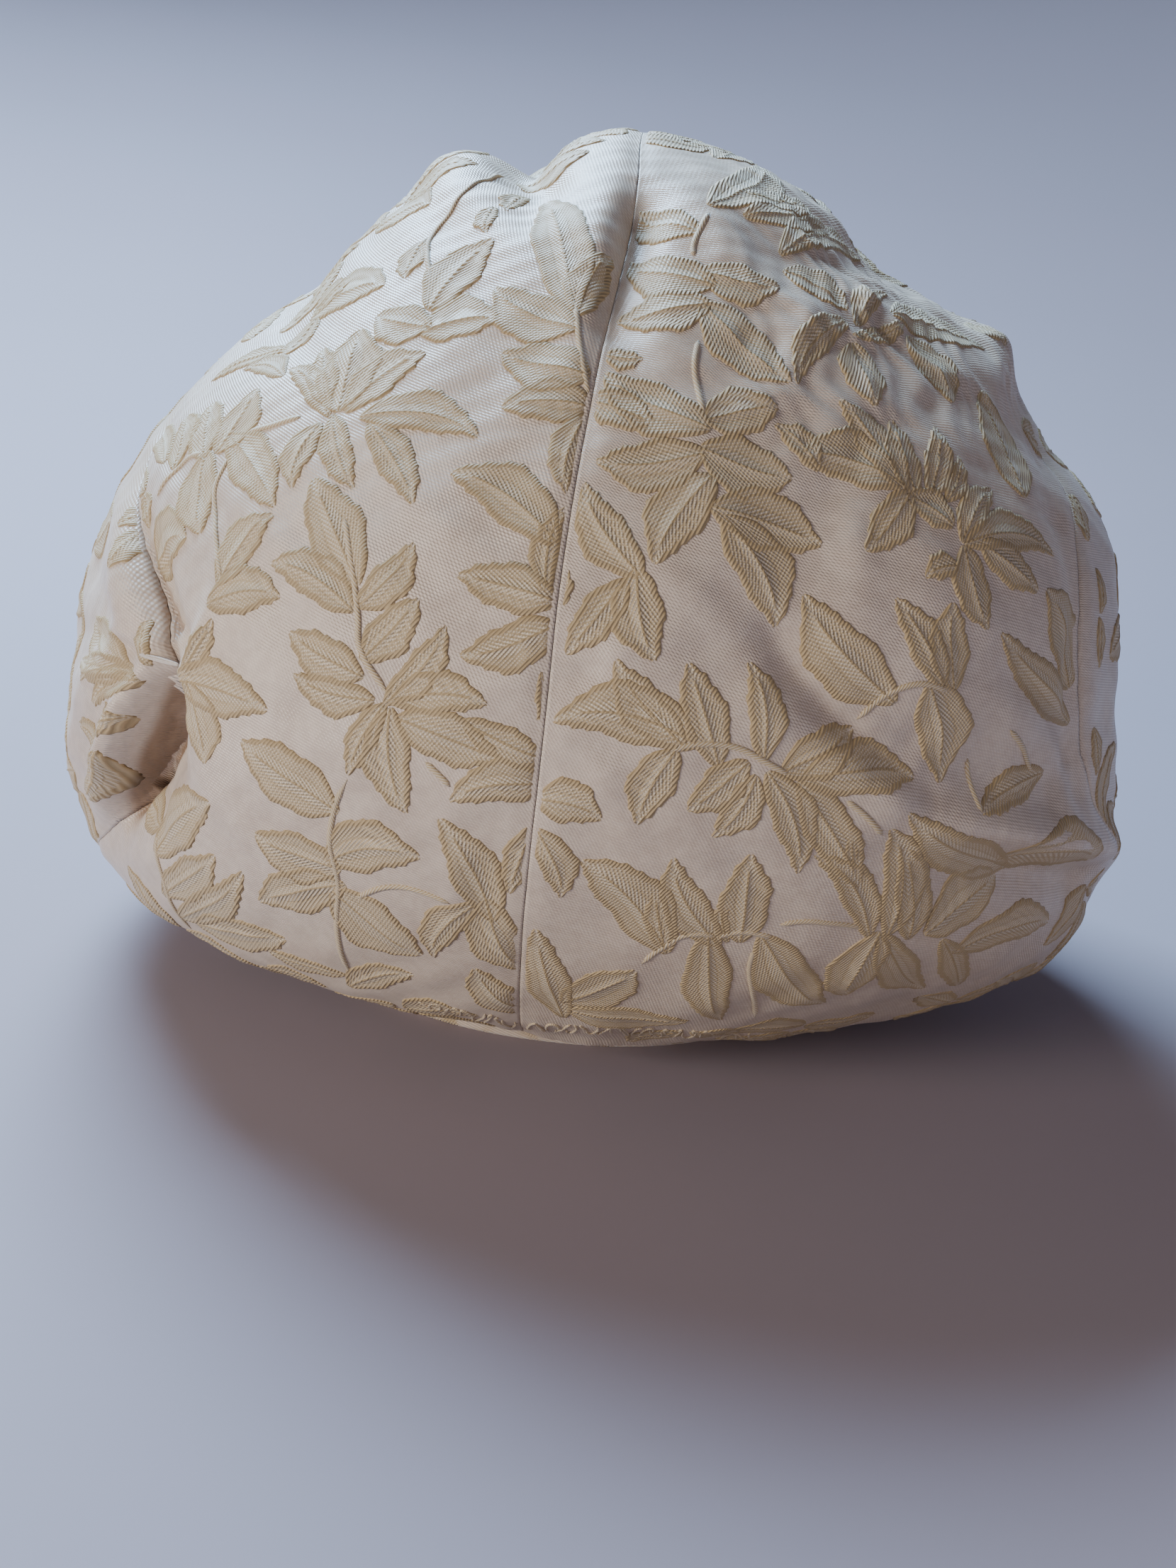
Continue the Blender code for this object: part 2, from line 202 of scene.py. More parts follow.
def smooth_form(azimuth, level):
    """The form before its folds: in plan |x/half width|^n + |y/half depth|^n = 1, at each level."""
    azimuth, level = np.broadcast_arrays(np.asarray(azimuth, float), np.asarray(level, float))
    height, left, right, back, front = np.moveaxis(through_rows(SECTION_ROWS, level), -1, 0)
    across = np.sin(np.radians(azimuth))
    ahead = -np.cos(np.radians(azimuth))
    half_width = np.maximum(np.where(across > 0, right, left), 1e-9)
    half_depth = np.maximum(np.where(ahead < 0, back, front), 1e-9)
    spread = (np.abs(across) / half_width) ** SQUARENESS + (np.abs(ahead) / half_depth) ** SQUARENESS
    reach = spread ** (-1 / SQUARENESS)
    return np.stack([reach * across, reach * ahead, height], -1)


def unit(vectors):
    """Vectors divided by their lengths."""
    return vectors / np.linalg.norm(vectors, axis=-1, keepdims=True)


def form_reach(azimuth, level):
    """How far in mm the form before its folds stands from the upright axis."""
    return np.linalg.norm(smooth_form(azimuth, level)[..., :2], axis=-1)


def outward(surface, azimuth, level):
    """Unit normals of a surface: the cross product of a small step along it and a small step up it."""
    level = np.minimum(level, POLE_LEVEL - 2 * FORM_STEP)
    along = surface(azimuth + FORM_TURN, level) - surface(azimuth - FORM_TURN, level)
    up = surface(azimuth, level + FORM_STEP) - surface(azimuth, level - FORM_STEP)
    return unit(np.cross(along, up))


print("reach at the fullest level:", smooth_form([-90.0, 0.0, 90.0, 180.0], 3.0).round(1).tolist())

# %% [markdown]
# A fold is a bell across its path: the push is height times e to the power of minus the squared
# distance over the squared width. Where two stretches of one path meet, their pushes are blended by
# how near each is, so no step shows at a bend. Beyond a few widths a fold does nothing, so only the
# points round its path are worked out.

# %% The map of folds
MAP_AZIMUTH_STEP = 0.4
MAP_LEVEL_STEP = 0.02
FOLD_REACH = 3.2
MAP_AZIMUTHS = np.arange(-180, 180, MAP_AZIMUTH_STEP)
MAP_LEVELS = np.arange(0, POLE_LEVEL + MAP_LEVEL_STEP / 2, MAP_LEVEL_STEP)
MAP_POINTS = smooth_form(MAP_AZIMUTHS[None, :], MAP_LEVELS[:, None])


def fold_paths(table):
    """Each fold's path on the smooth form, with its width and height at each of its points."""
    for stations in table.values():
        rows = np.array(stations, float)
        steps = np.linspace(0, len(rows) - 1, FOLD_STEPS * (len(rows) - 1) + 1)
        columns = [np.interp(steps, np.arange(len(rows)), column) for column in rows.T]
        yield smooth_form(columns[0], columns[1]), columns[2], columns[3]


def one_fold(points, path, width, height):
    """The push of one fold at some points, in mm."""
    start = path[:-1]
    run = np.diff(path, axis=0)
    offset = points[:, None, :] - start
    along = np.clip((offset * run).sum(-1) / (run ** 2).sum(-1), 0, 1)
    distance = np.linalg.norm(offset - along[..., None] * run, axis=-1)
    nearness = (distance / (width[:-1] + along * np.diff(width))) ** 2
    weight = np.exp(-STRETCH_BLEND * (nearness - nearness.min(-1, keepdims=True)))
    push = (height[:-1] + along * np.diff(height)) * np.exp(-nearness)
    return (weight * push).sum(-1) / weight.sum(-1)


def press(paths):
    """A map of the pushes of many folds over azimuth and level, in mm."""
    heights = np.zeros(MAP_POINTS.shape[:2])
    for path, width, height in paths:
        reach = FOLD_REACH * width.max()
        inside = (MAP_POINTS > path.min(0) - reach) & (MAP_POINTS < path.max(0) + reach)
        near = inside.all(-1)
        heights[near] += one_fold(MAP_POINTS[near], path, width, height)
    return heights


def read_map(heights, azimuth, level):
    """A map read between its points, by a Catmull-Rom curve each way; azimuths run round and round."""
    across = (azimuth - MAP_AZIMUTHS[0]) / MAP_AZIMUTH_STEP
    up = np.clip(level, 0, POLE_LEVEL) / MAP_LEVEL_STEP
    column = np.floor(across).astype(int)
    row = np.minimum(np.floor(up).astype(int), len(MAP_LEVELS) - 2)
    across_weights = curve_weights(across - column)
    up_weights = curve_weights(up - row)
    total = np.zeros(np.shape(azimuth))
    for j, up_weight in enumerate(up_weights):
        rows = np.clip(row - 1 + j, 0, len(MAP_LEVELS) - 1)
        for i, across_weight in enumerate(across_weights):
            columns = (column - 1 + i) % len(MAP_AZIMUTHS)
            total += up_weight * across_weight * heights[rows, columns]
    return total


press_map = press(fold_paths(FOLDS))
print("folds push from", press_map.min().round(1), "to", press_map.max().round(1), "mm")

# %% [markdown]
# The finished cloth adds three things to the smooth form, all along its outward direction: the map of
# folds, a small dip along each seam, and a soft unevenness of crossed sine waves under a millimetre
# high, as the cloth puffs between its leaves. High on the right the cloth is crumpled, so closer and
# steeper waves come in there.

# %% The cloth's surface
UNEVEN = 0.6
CRUMPLE = 0.8
CRUMPLED_FROM = np.array([20.0, 200.0])
CRUMPLED_ALL = np.array([60.0, 235.0])


def seam_turns(azimuth, level):
    """Degrees from each of the three seams, positive to the right of it."""
    seams = through_rows(SEAM_ROWS, level)
    return (azimuth[..., None] - seams + 180) % 360 - 180


def seam_sink(azimuth, level, points):
    """A dip along each seam: depth times e to the power of minus (distance over width) squared."""
    reach = np.hypot(points[..., 0], points[..., 1])
    distance = np.radians(seam_turns(azimuth, level)) * reach[..., None]
    return -SEAM_DIP * np.exp(-(distance / SEAM_DIP_WIDTH) ** 2).sum(-1)


def unevenness(points):
    """Soft unevenness in mm: sine waves, bent by others; each divisor is a wave length over 2 pi."""
    x, y, z = np.moveaxis(points, -1, 0)
    broad = np.sin(x / 6.1 + 1.9 * np.sin(z / 14.0)) * np.sin(z / 7.3 + 1.4 * np.sin((x + y) / 17.0))
    fine = np.sin((y - x) / 3.7 + 2.1 * np.sin(z / 8.2)) * np.sin((z + y) / 3.1)
    ripple = np.sin((x + y) / 2.9 + 2.4 * np.sin((z + 0.7 * y) / 5.7))
    close = ripple * np.sin((z - y) / 2.7 + 2.0 * np.sin((x + 0.6 * y) / 6.1))
    reached = (points[..., [0, 2]] - CRUMPLED_FROM) / (CRUMPLED_ALL - CRUMPLED_FROM)
    crumpled = np.clip(reached, 0, 1).prod(-1)
    return UNEVEN * (broad + 0.35 * fine) + CRUMPLE * crumpled * close


def cloth_at(azimuth, level, lift=0.0):
    """The outer face of the cloth in mm, raised by lift."""
    azimuth, level = np.broadcast_arrays(np.asarray(azimuth, float), np.asarray(level, float))
    points = smooth_form(azimuth, level)
    push = read_map(press_map, azimuth, level) + seam_sink(azimuth, level, points) + unevenness(points)
    push = push * np.clip(level, 0, 1) + lift
    return points + outward(smooth_form, azimuth, level) * push[..., None]


print("middle of the back:", cloth_at(0.0, 4.0).round(1).tolist())

# %% [markdown]
# ## Camera
#
# The camera stands behind the hat, a little above it, and is rolled a few degrees. Its angle, its
# distance and its focal length in pixels of the picture frame fix where each point of cloth is seen,
# so the same numbers serve to place the leaves and small folds that are charted in picture points.

# %% The camera
PICTURE = (1659, 2212)
FOCAL_PIXELS = 2237.0
CAMERA_AZIMUTH = 3.0
CAMERA_ELEVATION = 12.0
CAMERA_DISTANCE = 575.0
CAMERA_ROLL = 6.0
AIM_AT = np.array([0.0, 0.0, 140.0])
AIM_PIXEL = (842, 835)
SENSOR = 36.0


def frame_of(forward, upward):
    """Three square unit vectors, the first along forward and the second as near upward as can be."""
    first = forward / np.linalg.norm(forward)
    second = upward - (upward @ first) * first
    second /= np.linalg.norm(second)
    return np.stack([first, second, np.cross(first, second)], 1)


def blender_matrix(axes):
    """Blender's own matrix of three axes given as the columns of an array."""
    return Matrix([[float(n) for n in row] for row in axes]).to_4x4()


def in_scene(name, data):
    """A new object with some data, linked into the scene."""
    made = bpy.data.objects.new(name, data)
    bpy.context.scene.collection.objects.link(made)
    return made


turn = math.radians(CAMERA_AZIMUTH)
tilt = math.radians(CAMERA_ELEVATION)
backward = np.array([
    math.sin(turn) * math.cos(tilt),
    -math.cos(turn) * math.cos(tilt),
    math.sin(tilt),
])
CAMERA_AT = AIM_AT + backward * CAMERA_DISTANCE
aim_ray = np.array([
    (AIM_PIXEL[0] - PICTURE[0] / 2) / FOCAL_PIXELS,
    (PICTURE[1] / 2 - AIM_PIXEL[1]) / FOCAL_PIXELS,
    -1.0,
])
rolled_up = np.array([math.sin(math.radians(CAMERA_ROLL)), math.cos(math.radians(CAMERA_ROLL)), 0.0])
TO_CAMERA = frame_of(aim_ray, rolled_up) @ frame_of(-backward, np.array([0.0, 0.0, 1.0])).T

camera = in_scene("camera", bpy.data.cameras.new("camera"))
camera.data.sensor_width = SENSOR
camera.data.lens = SENSOR * FOCAL_PIXELS / max(PICTURE)
camera.data.clip_start = 0.02
camera.data.clip_end = 30.0
place = blender_matrix(TO_CAMERA.T)
place.translation = [float(n) for n in (CAMERA_AT + AXIS_AT) * MM]
camera.matrix_world = place
bpy.context.scene.camera = camera
print("camera at", [round(n, 3) for n in place.translation], "lens", round(camera.data.lens, 1))

# %% [markdown]
# To find the cloth under a picture point, a coarse grid of the surface is projected, the nearest
# visible grid point is taken, and two Newton steps slide it along the surface onto the picture point.
# A deeper layer of cloth costs a little more, so the front one wins where a fold hides another.

# %% Cloth under a picture point
SEARCH_AZIMUTHS = np.arange(-125, 125.1, 0.8)
SEARCH_LEVELS = np.arange(0.1, POLE_LEVEL, 0.03)
DEPTH_COST = 0.3
SLIDE_STEP = (0.2, 0.01)
MOST_SLIDE = (1.2, 0.05)
SLIDES = 2
SEARCH_BLOCKS = 16
RIM_MARGIN = 0.02


def picture_points(points):
    """Where points in mm are seen in the picture, and how far in front of the camera they are."""
    seen = (points - CAMERA_AT) @ TO_CAMERA.T
    depth = -seen[..., 2]
    across = PICTURE[0] / 2 + FOCAL_PIXELS * seen[..., 0] / depth
    down = PICTURE[1] / 2 - FOCAL_PIXELS * seen[..., 1] / depth
    return np.stack([across, down], -1), depth


def visible_cloth():
    """Azimuths, levels, picture points and depths of the grid points that face the camera."""
    azimuth, level = np.meshgrid(SEARCH_AZIMUTHS, SEARCH_LEVELS)
    points = cloth_at(azimuth, level)
    facing = (outward(cloth_at, azimuth, level) * (CAMERA_AT - points)).sum(-1) > 0
    return azimuth[facing], level[facing], *picture_points(points[facing])


def cloth_under(pixels):
    """Azimuths and levels of the cloth seen at picture points given as rows of across and down."""
    azimuth, level, seen, depth = VISIBLE
    found = []
    for block in np.array_split(np.asarray(pixels, float), SEARCH_BLOCKS):
        miss = np.hypot(block[:, None, 0] - seen[:, 0], block[:, None, 1] - seen[:, 1])
        found.append((miss + DEPTH_COST * depth).argmin(1))
    found = np.concatenate(found)
    place = np.stack([azimuth[found], level[found]], -1)
    for _ in range(SLIDES):
        here = picture_points(cloth_at(place[:, 0], place[:, 1]))[0]
        along = picture_points(cloth_at(place[:, 0] + SLIDE_STEP[0], place[:, 1]))[0] - here
        up = picture_points(cloth_at(place[:, 0], place[:, 1] + SLIDE_STEP[1]))[0] - here
        want = np.asarray(pixels, float) - here
        area = along[:, 0] * up[:, 1] - along[:, 1] * up[:, 0]
        area = np.where(np.abs(area) < 1e-6, 1e-6, area)
        slide_along = (want[:, 0] * up[:, 1] - want[:, 1] * up[:, 0]) / area * SLIDE_STEP[0]
        slide_up = (along[:, 0] * want[:, 1] - along[:, 1] * want[:, 0]) / area * SLIDE_STEP[1]
        place[:, 0] += np.clip(slide_along, -MOST_SLIDE[0], MOST_SLIDE[0])
        place[:, 1] += np.clip(slide_up, -MOST_SLIDE[1], MOST_SLIDE[1])
        place[:, 1] = np.clip(place[:, 1], RIM_MARGIN, POLE_LEVEL - RIM_MARGIN)
    return place


VISIBLE = visible_cloth()
print("cloth at the middle of the picture:", cloth_under([(842, 835)]).round(2).tolist())

# %% [markdown]
# ## Small folds
#
# Puckers a few millimetres wide run out from the stitches at the left side, along the right side
# seam and over the crown. A bump pattern could hint at them, but they also change the outline and
# hide cloth, so they are charted in picture points and added to the map of folds.

# %% Puckers charted in picture points
PUCKERS = {
    # fold: stations of across, down, width mm, height mm
    "gather one": [(212, 925, 2.2, 0.8), (175, 893, 2.2, 1.6), (135, 868, 3.0, 0.0)],
    "gather two": [(208, 938, 2.0, 0.8), (165, 921, 2.2, 1.7), (118, 905, 3.0, 0.4)],
    "gather three": [(207, 948, 2.0, 0.8), (165, 950, 2.2, 1.6), (112, 945, 3.0, 0.4)],
    "gather four": [(206, 958, 2.0, 1.0), (165, 980, 2.2, 1.8), (118, 990, 3.0, 0.4)],
    "gather five": [(203, 970, 2.2, 0.8), (168, 1012, 2.2, 1.5), (128, 1050, 3.0, 0.0)],
    "tack right high": [(262, 930, 2.8, 1.2), (285, 890, 3.0, 1.0), (300, 845, 3.5, 0.0)],
    "tack right low": [(258, 965, 2.5, 1.0), (268, 1010, 3.0, 1.0), (285, 1070, 3.5, 0.0)],
    "crevice": [
        (198, 715, 3.0, 0.0), (206, 770, 2.6, -2.4), (222, 830, 2.6, -3.2), (243, 885, 3.0, -3.6),
        (236, 925, 3.0, -2.0),
    ],
    "left groove": [
        (250, 905, 3.5, 0.0), (247, 945, 3.5, -2.0), (240, 985, 4.0, -9.0), (226, 1040, 4.5, -14.0),
        (208, 1090, 4.5, -14.0), (190, 1132, 4.5, -9.0), (174, 1168, 4.0, 0.0),
    ],
    "left crest": [
        (214, 955, 4.0, 2.0), (192, 1000, 5.0, 8.0), (164, 1058, 5.0, 8.0), (142, 1115, 5.0, 4.0),
        (140, 1160, 5.0, 0.0),
    ],
    "left edge ridge": [
        (303, 800, 4.0, 0.0), (300, 855, 3.5, 1.2), (278, 905, 3.0, 1.5), (260, 955, 3.0, 1.5),
        (246, 1030, 3.0, 1.8), (216, 1115, 3.0, 1.8), (198, 1160, 4.0, 1.0), (190, 1195, 5.0, 0.0),
    ],
    "shade valley": [
        (1085, 820, 6.0, 0.0), (1105, 930, 5.0, -1.5), (1165, 1000, 4.0, -2.2), (1240, 1065, 4.0, -2.2),
        (1320, 1125, 5.0, -1.5), (1400, 1150, 5.0, 0.0),
    ],
    "shade ridge": [
        (1050, 860, 8.0, 0.0), (1075, 980, 7.0, 1.2), (1150, 1045, 6.0, 1.5), (1240, 1110, 6.0, 1.2),
        (1320, 1165, 5.0, 0.0),
    ],
    "corner ridge": [
        (1320, 1150, 5.0, 0.0), (1390, 1168, 4.0, 2.0), (1470, 1182, 4.0, 2.6), (1540, 1194, 4.0, 2.2),
        (1575, 1202, 5.0, 0.6),
    ],
    "corner valley above": [
        (1300, 1118, 6.0, 0.0), (1400, 1130, 6.0, -1.5), (1490, 1150, 5.0, -2.0), (1530, 1165, 4.0, 0.0),
    ],
    "corner valley below": [
        (1370, 1210, 6.0, 0.0), (1440, 1224, 6.0, -1.5), (1510, 1230, 5.0, -1.5), (1550, 1230, 4.0, 0.0),
    ],
    "second valley": [
        (1395, 905, 6.0, 0.0), (1440, 965, 5.0, -1.6), (1488, 1015, 4.5, -2.2), (1518, 1075, 4.0, -1.2),
        (1528, 1120, 4.0, 0.0),
    ],
    "white fold": [
        (1140, 420, 3.5, 0.0), (1135, 470, 3.0, 1.4), (1122, 520, 3.5, 1.0), (1110, 560, 5.0, 0.0),
    ],
    "curl fold": [
        (1250, 440, 3.0, 0.0), (1222, 412, 2.5, 1.2), (1212, 440, 2.5, 1.2), (1225, 465, 3.0, 0.0),
    ],
    "crinkle one": [(1010, 262, 3.0, 0.0), (1045, 246, 2.5, 0.9), (1085, 252, 3.0, 0.0)],
    "crinkle two": [
        (1020, 300, 3.0, 0.0), (1080, 292, 3.0, 0.9), (1130, 302, 3.0, 0.8), (1160, 315, 3.0, 0.0),
    ],
    "crinkle three": [(1100, 345, 3.0, 0.0), (1155, 350, 3.0, 1.0), (1200, 372, 3.0, 0.0)],
    "crinkle four": [(1180, 390, 3.0, 0.0), (1230, 398, 2.5, 0.9), (1270, 420, 3.0, 0.0)],
    "crinkle five": [(1265, 465, 3.0, 0.0), (1305, 458, 3.0, 0.8), (1345, 458, 3.0, 0.0)],
    "leaf pucker": [
        (1190, 700, 4.0, 0.0), (1205, 745, 4.0, 1.0), (1210, 800, 5.0, 0.6), (1215, 850, 6.0, 0.0),
    ],
    "low fold one": [
        (815, 1050, 6.0, 0.0), (850, 1095, 5.0, 1.2), (880, 1150, 5.0, 1.2), (900, 1200, 6.0, 0.0),
    ],
    "low valley one": [(812, 890, 7.0, 0.0), (822, 950, 6.0, -1.2), (815, 1010, 6.0, 0.0)],
    "low fold two": [
        (620, 1150, 5.0, 0.0), (648, 1215, 5.0, 1.3), (640, 1300, 5.0, 1.0), (612, 1355, 6.0, 0.0),
    ],
    "low valley two": [(680, 1180, 6.0, 0.0), (696, 1260, 6.0, -1.2), (705, 1330, 7.0, 0.0)],
    "low valley three": [
        (850, 1230, 8.0, 0.0), (855, 1300, 9.0, -1.6), (850, 1370, 8.0, -0.8), (845, 1420, 8.0, 0.0),
    ],
    "centre fold": [(860, 880, 6.0, 0.0), (875, 915, 5.0, 1.2), (885, 960, 6.0, 0.0)],
    "top valley": [
        (925, 262, 6.0, 0.0), (902, 320, 6.0, -2.5), (872, 420, 5.0, -1.5), (850, 520, 4.0, 0.0),
    ],
}


def onto_the_cloth(table):
    """The same folds with their stations moved from the picture onto the cloth."""
    seen = [station[:2] for stations in table.values() for station in stations]
    place = iter(cloth_under(seen).tolist())
    return {name: [(*next(place), *station[2:]) for station in stations] for name, stations in table.items()}


pucker_map = press(fold_paths(onto_the_cloth(PUCKERS)))
press_map = press_map + pucker_map
VISIBLE = visible_cloth()
print("puckers:", len(PUCKERS))

# %% [markdown]
# ## Materials
#
# Shader sums are written as plain arithmetic on sockets. A Wire is one output socket with the
# arithmetic signs overloaded, and a Recipe makes nodes with their settings first and their sockets
# after, so that a formula reads as it would on paper.

# %% Shader arithmetic


class Wire:
    """An output socket that can be added, subtracted and multiplied."""

    def __init__(self, recipe, socket):
        self.recipe = recipe
        self.socket = socket

    def maths(self, operation, *terms):
        node = self.recipe.node("Math", {"operation": operation}, dict(enumerate(terms)))
        return Wire(self.recipe, node.outputs[0])

    def __add__(self, other):
        return self.maths("ADD", self, other)

    def __radd__(self, other):
        return self.maths("ADD", other, self)

    def __sub__(self, other):
        return self.maths("SUBTRACT", self, other)

    def __rsub__(self, other):
        return self.maths("SUBTRACT", other, self)

    def __mul__(self, other):
        return self.maths("MULTIPLY", self, other)

    def __rmul__(self, other):
        return self.maths("MULTIPLY", other, self)

    def __abs__(self):
        return self.maths("ABSOLUTE", self)

    def sine(self):
        return self.maths("SINE", self)


class Recipe:
    """A material's nodes, made one short call at a time."""

    def __init__(self, name):
        self.material = bpy.data.materials.new(name)
        self.material.use_nodes = True
        self.tree = self.material.node_tree
        self.tree.nodes.clear()

    def node(self, kind, settings, sockets):
        made = self.tree.nodes.new("ShaderNode" + kind)
        for name, value in settings.items():
            setattr(made, name, value)
        for name, value in sockets.items():
            if isinstance(value, Wire):
                self.tree.links.new(value.socket, made.inputs[name])
            else:
                made.inputs[name].default_value = value
        return made

    def uv(self, layer):
        """The two coordinates of one of the piece's UV maps."""
        place = self.node("UVMap", {"uv_map": layer}, {})
        parts = self.node("SeparateXYZ", {}, {"Vector": Wire(self, place.outputs["UV"])})
        return Wire(self, parts.outputs["X"]), Wire(self, parts.outputs["Y"])

    def object_place(self):
        """The place on the piece in metres."""
        return Wire(self, self.node("TexCoord", {}, {}).outputs["Object"])

    def noise(self, place, scale, detail=2.0):
        sockets = {"Vector": place, "Scale": scale, "Detail": detail}
        return Wire(self, self.node("TexNoise", {}, sockets).outputs["Fac"])

    def ramp(self, value, low, high):
        """0 below low, 1 above high and a smooth rise between."""
        sockets = {"Value": value, "From Min": low, "From Max": high}
        made = self.node("MapRange", {"interpolation_type": "SMOOTHSTEP"}, sockets)
        return Wire(self, made.outputs["Result"])

    def mix(self, share, first, second):
        """A colour that goes from first to second as share goes from 0 to 1."""
        made = self.node("Mix", {"data_type": "RGBA"}, {0: share, 6: first, 7: second})
        return Wire(self, made.outputs[2])

    def bump(self, height, distance):
        """Surface directions of a relief, whose height of 1 stands for a distance in metres."""
        sockets = {"Height": height, "Distance": distance}
        return Wire(self, self.node("Bump", {}, sockets).outputs["Normal"])

    def finish(self, sockets):
        """Ends the tree in a Principled shader with the given sockets."""
        shader = self.node("BsdfPrincipled", {}, sockets)
        end = self.node("OutputMaterial", {}, {})
        self.tree.links.new(shader.outputs["BSDF"], end.inputs["Surface"])
        return self.material


def colour(red, green, blue):
    return (red, green, blue, 1.0)


print("shader arithmetic ready")

# %% [markdown]
# The ground is a fine satin with small pale floats in slanting rows about 0.9 mm apart. The leaves
# are woven in gold-beige: raised ribs run the same slanting way over the whole cloth, their inside
# is speckled with pale floats in rows, and white floats fan out beside the midrib. Cloth deep in a
# small fold is painted darker and more golden; this is painted shade, not a colour of the cloth. An
# image could carry the weave, but waves written as formulas stay sharp from near and follow each
# thread. The UV map cloth is in mm on the cloth, code tells where a point lies across a leaf, vein
# is mm along and across that leaf, and fold is how far in mm small folds push the cloth outwards.

# %% Cloth materials
GROUND_PALE = colour(0.65, 0.54, 0.425)
GROUND_SHADE = colour(0.48, 0.375, 0.29)
# painted shade: the ground's colour deep inside small folds
GROUND_PAINTED_SHADE = colour(0.26, 0.165, 0.10)
LEAF_GOLD = colour(0.435, 0.315, 0.165)
LEAF_DEEP = colour(0.335, 0.24, 0.12)
# painted shade: the leaves' colour deep inside small folds
LEAF_PAINTED_SHADE = colour(0.16, 0.105, 0.055)
LEAF_FLOAT = colour(0.65, 0.56, 0.43)
THREAD_PALE = colour(0.60, 0.57, 0.50)
TAU = 2 * math.pi
GROUND_PITCH = 0.87
RIB_PITCH = 1.0
# fold depths in mm where the painted shade begins and where it is full
PAINTED_SHADE_FROM = -0.8
PAINTED_SHADE_ALL = -4.5
RIB_SLANT = math.radians(55)
GROUND_SLANT = math.radians(-14)
FLOAT_PITCH = 1.05
BEAD_PITCH = 0.92
FAN_PITCH = 1.9
CORD_PITCH = 1.2
PATCHES_PER_METRE = 38.0
SLUBS_PER_METRE = 320.0
FIBRES_PER_METRE = 900.0
GROUND_RELIEF = 0.0001
LEAF_RELIEF = 0.00013
CORD_RELIEF = 0.00005
BAND_RELIEF = 0.00015
THREAD_RELIEF = 0.0001


def slanted(u, v, angle, pitch):
    """Waves from -1 to 1 whose crests run at an angle to the cloth's level threads."""
    return ((v * math.cos(angle) - u * math.sin(angle)) * (TAU / pitch)).sine()


def painted_fold_shade(recipe):
    """Share of painted shade in small folds: 0 on open cloth and 1 deep inside a small fold."""
    return 1.0 - recipe.ramp(recipe.uv("fold")[0], PAINTED_SHADE_ALL, PAINTED_SHADE_FROM)


def ground_cloth():
    """Satin ground: pale floats where two sets of waves crest together, darker cloth between, and painted
    shade deep in small folds.
    """
    recipe = Recipe("leaf_brocade_ground")
    u, v = recipe.uv("cloth")
    rows = slanted(u, v, GROUND_SLANT, GROUND_PITCH)
    steps = slanted(u, v, RIB_SLANT + math.pi / 2.6, GROUND_PITCH)
    floats = recipe.ramp(rows * 0.6 + steps * 0.5, -0.2, 0.9)
    place = recipe.object_place()
    patches = recipe.ramp(recipe.noise(place, PATCHES_PER_METRE), 0.35, 0.7)
    slubs = recipe.ramp(recipe.noise(place, SLUBS_PER_METRE), 0.35, 0.65)
    share = floats * 0.5 + patches * 0.25 + slubs * 0.25
    height = rows * 0.5 + steps * 0.35
    open_cloth = recipe.mix(share, GROUND_SHADE, GROUND_PALE)
    return recipe.finish({
        # deep in small folds the colour turns to painted shade
        "Base Color": recipe.mix(painted_fold_shade(recipe), open_cloth, GROUND_PAINTED_SHADE),
        "Roughness": 0.44 - floats * 0.12,
        "Specular IOR Level": 0.6,
        "Sheen Weight": 0.08,
        "Sheen Roughness": 0.4,
        "Normal": recipe.bump(height, GROUND_RELIEF),
    })


def leaf_cloth():
    """Raised leaf: ribbed gold edge, speckled inside, pale floats beside a gold midrib, and painted shade
    deep in small folds.
    """
    recipe = Recipe("leaf_brocade_leaf")
    u, v = recipe.uv("cloth")
    along, side = recipe.uv("code")
    run, off = recipe.uv("vein")
    ribs = slanted(u, v, RIB_SLANT, RIB_PITCH)
    cross = ((abs(off) - run * 0.55) * (TAU / FLOAT_PITCH)).sine()
    beads = ((run + abs(off) * 0.7) * (TAU / BEAD_PITCH)).sine()
    edge = recipe.ramp(abs(side), 0.62, 0.74)
    speckle = recipe.ramp(beads * 0.6 + cross * 0.55, 0.15, 0.8)
    fan = ((run - abs(off) * 1.5) * (TAU / FAN_PITCH)).sine()
    beside = recipe.ramp(abs(side), 0.5, 0.25) * recipe.ramp(fan, 0.1, 0.7)
    midrib = recipe.ramp(abs(side), 0.11, 0.05) * recipe.ramp(along, 0.86, 0.78)
    streak = recipe.ramp(abs(abs(side) - 0.38), 0.05, 0.02) * recipe.ramp(along, 0.8, 0.6)
    white = speckle * 0.6 + beside * 0.4 + 0.12
    white = white * (1.0 - edge) * (1.0 - midrib) * (1.0 - streak * 0.6)
    gold = recipe.mix(recipe.ramp(ribs, -0.9, 0.3), LEAF_DEEP, LEAF_GOLD)
    height = ribs * (0.45 + edge * 0.55) + cross * (1.0 - edge) * 0.5 + midrib * 0.6 - streak * 0.4
    open_cloth = recipe.mix(white, gold, LEAF_FLOAT)
    return recipe.finish({
        # deep in small folds the colour turns to painted shade
        "Base Color": recipe.mix(painted_fold_shade(recipe), open_cloth, LEAF_PAINTED_SHADE),
        "Roughness": 0.62 - white * 0.16,
        "Specular IOR Level": 0.4,
        "Sheen Weight": 0.12,
        "Sheen Roughness": 0.4,
        "Normal": recipe.bump(height, LEAF_RELIEF),
    })


def stem_cord():
    """Raised gold cord with slanting turns of thread."""
    recipe = Recipe("leaf_brocade_stem")
    run, off = recipe.uv("vein")
    turns = ((run + off * 1.3) * (TAU / CORD_PITCH)).sine()
    return recipe.finish({
        "Base Color": recipe.mix(recipe.ramp(turns, -0.4, 1.6), LEAF_GOLD, LEAF_FLOAT),
        "Roughness": 0.65,
        "Sheen Weight": 0.25,
        "Normal": recipe.bump(turns, CORD_RELIEF),
    })


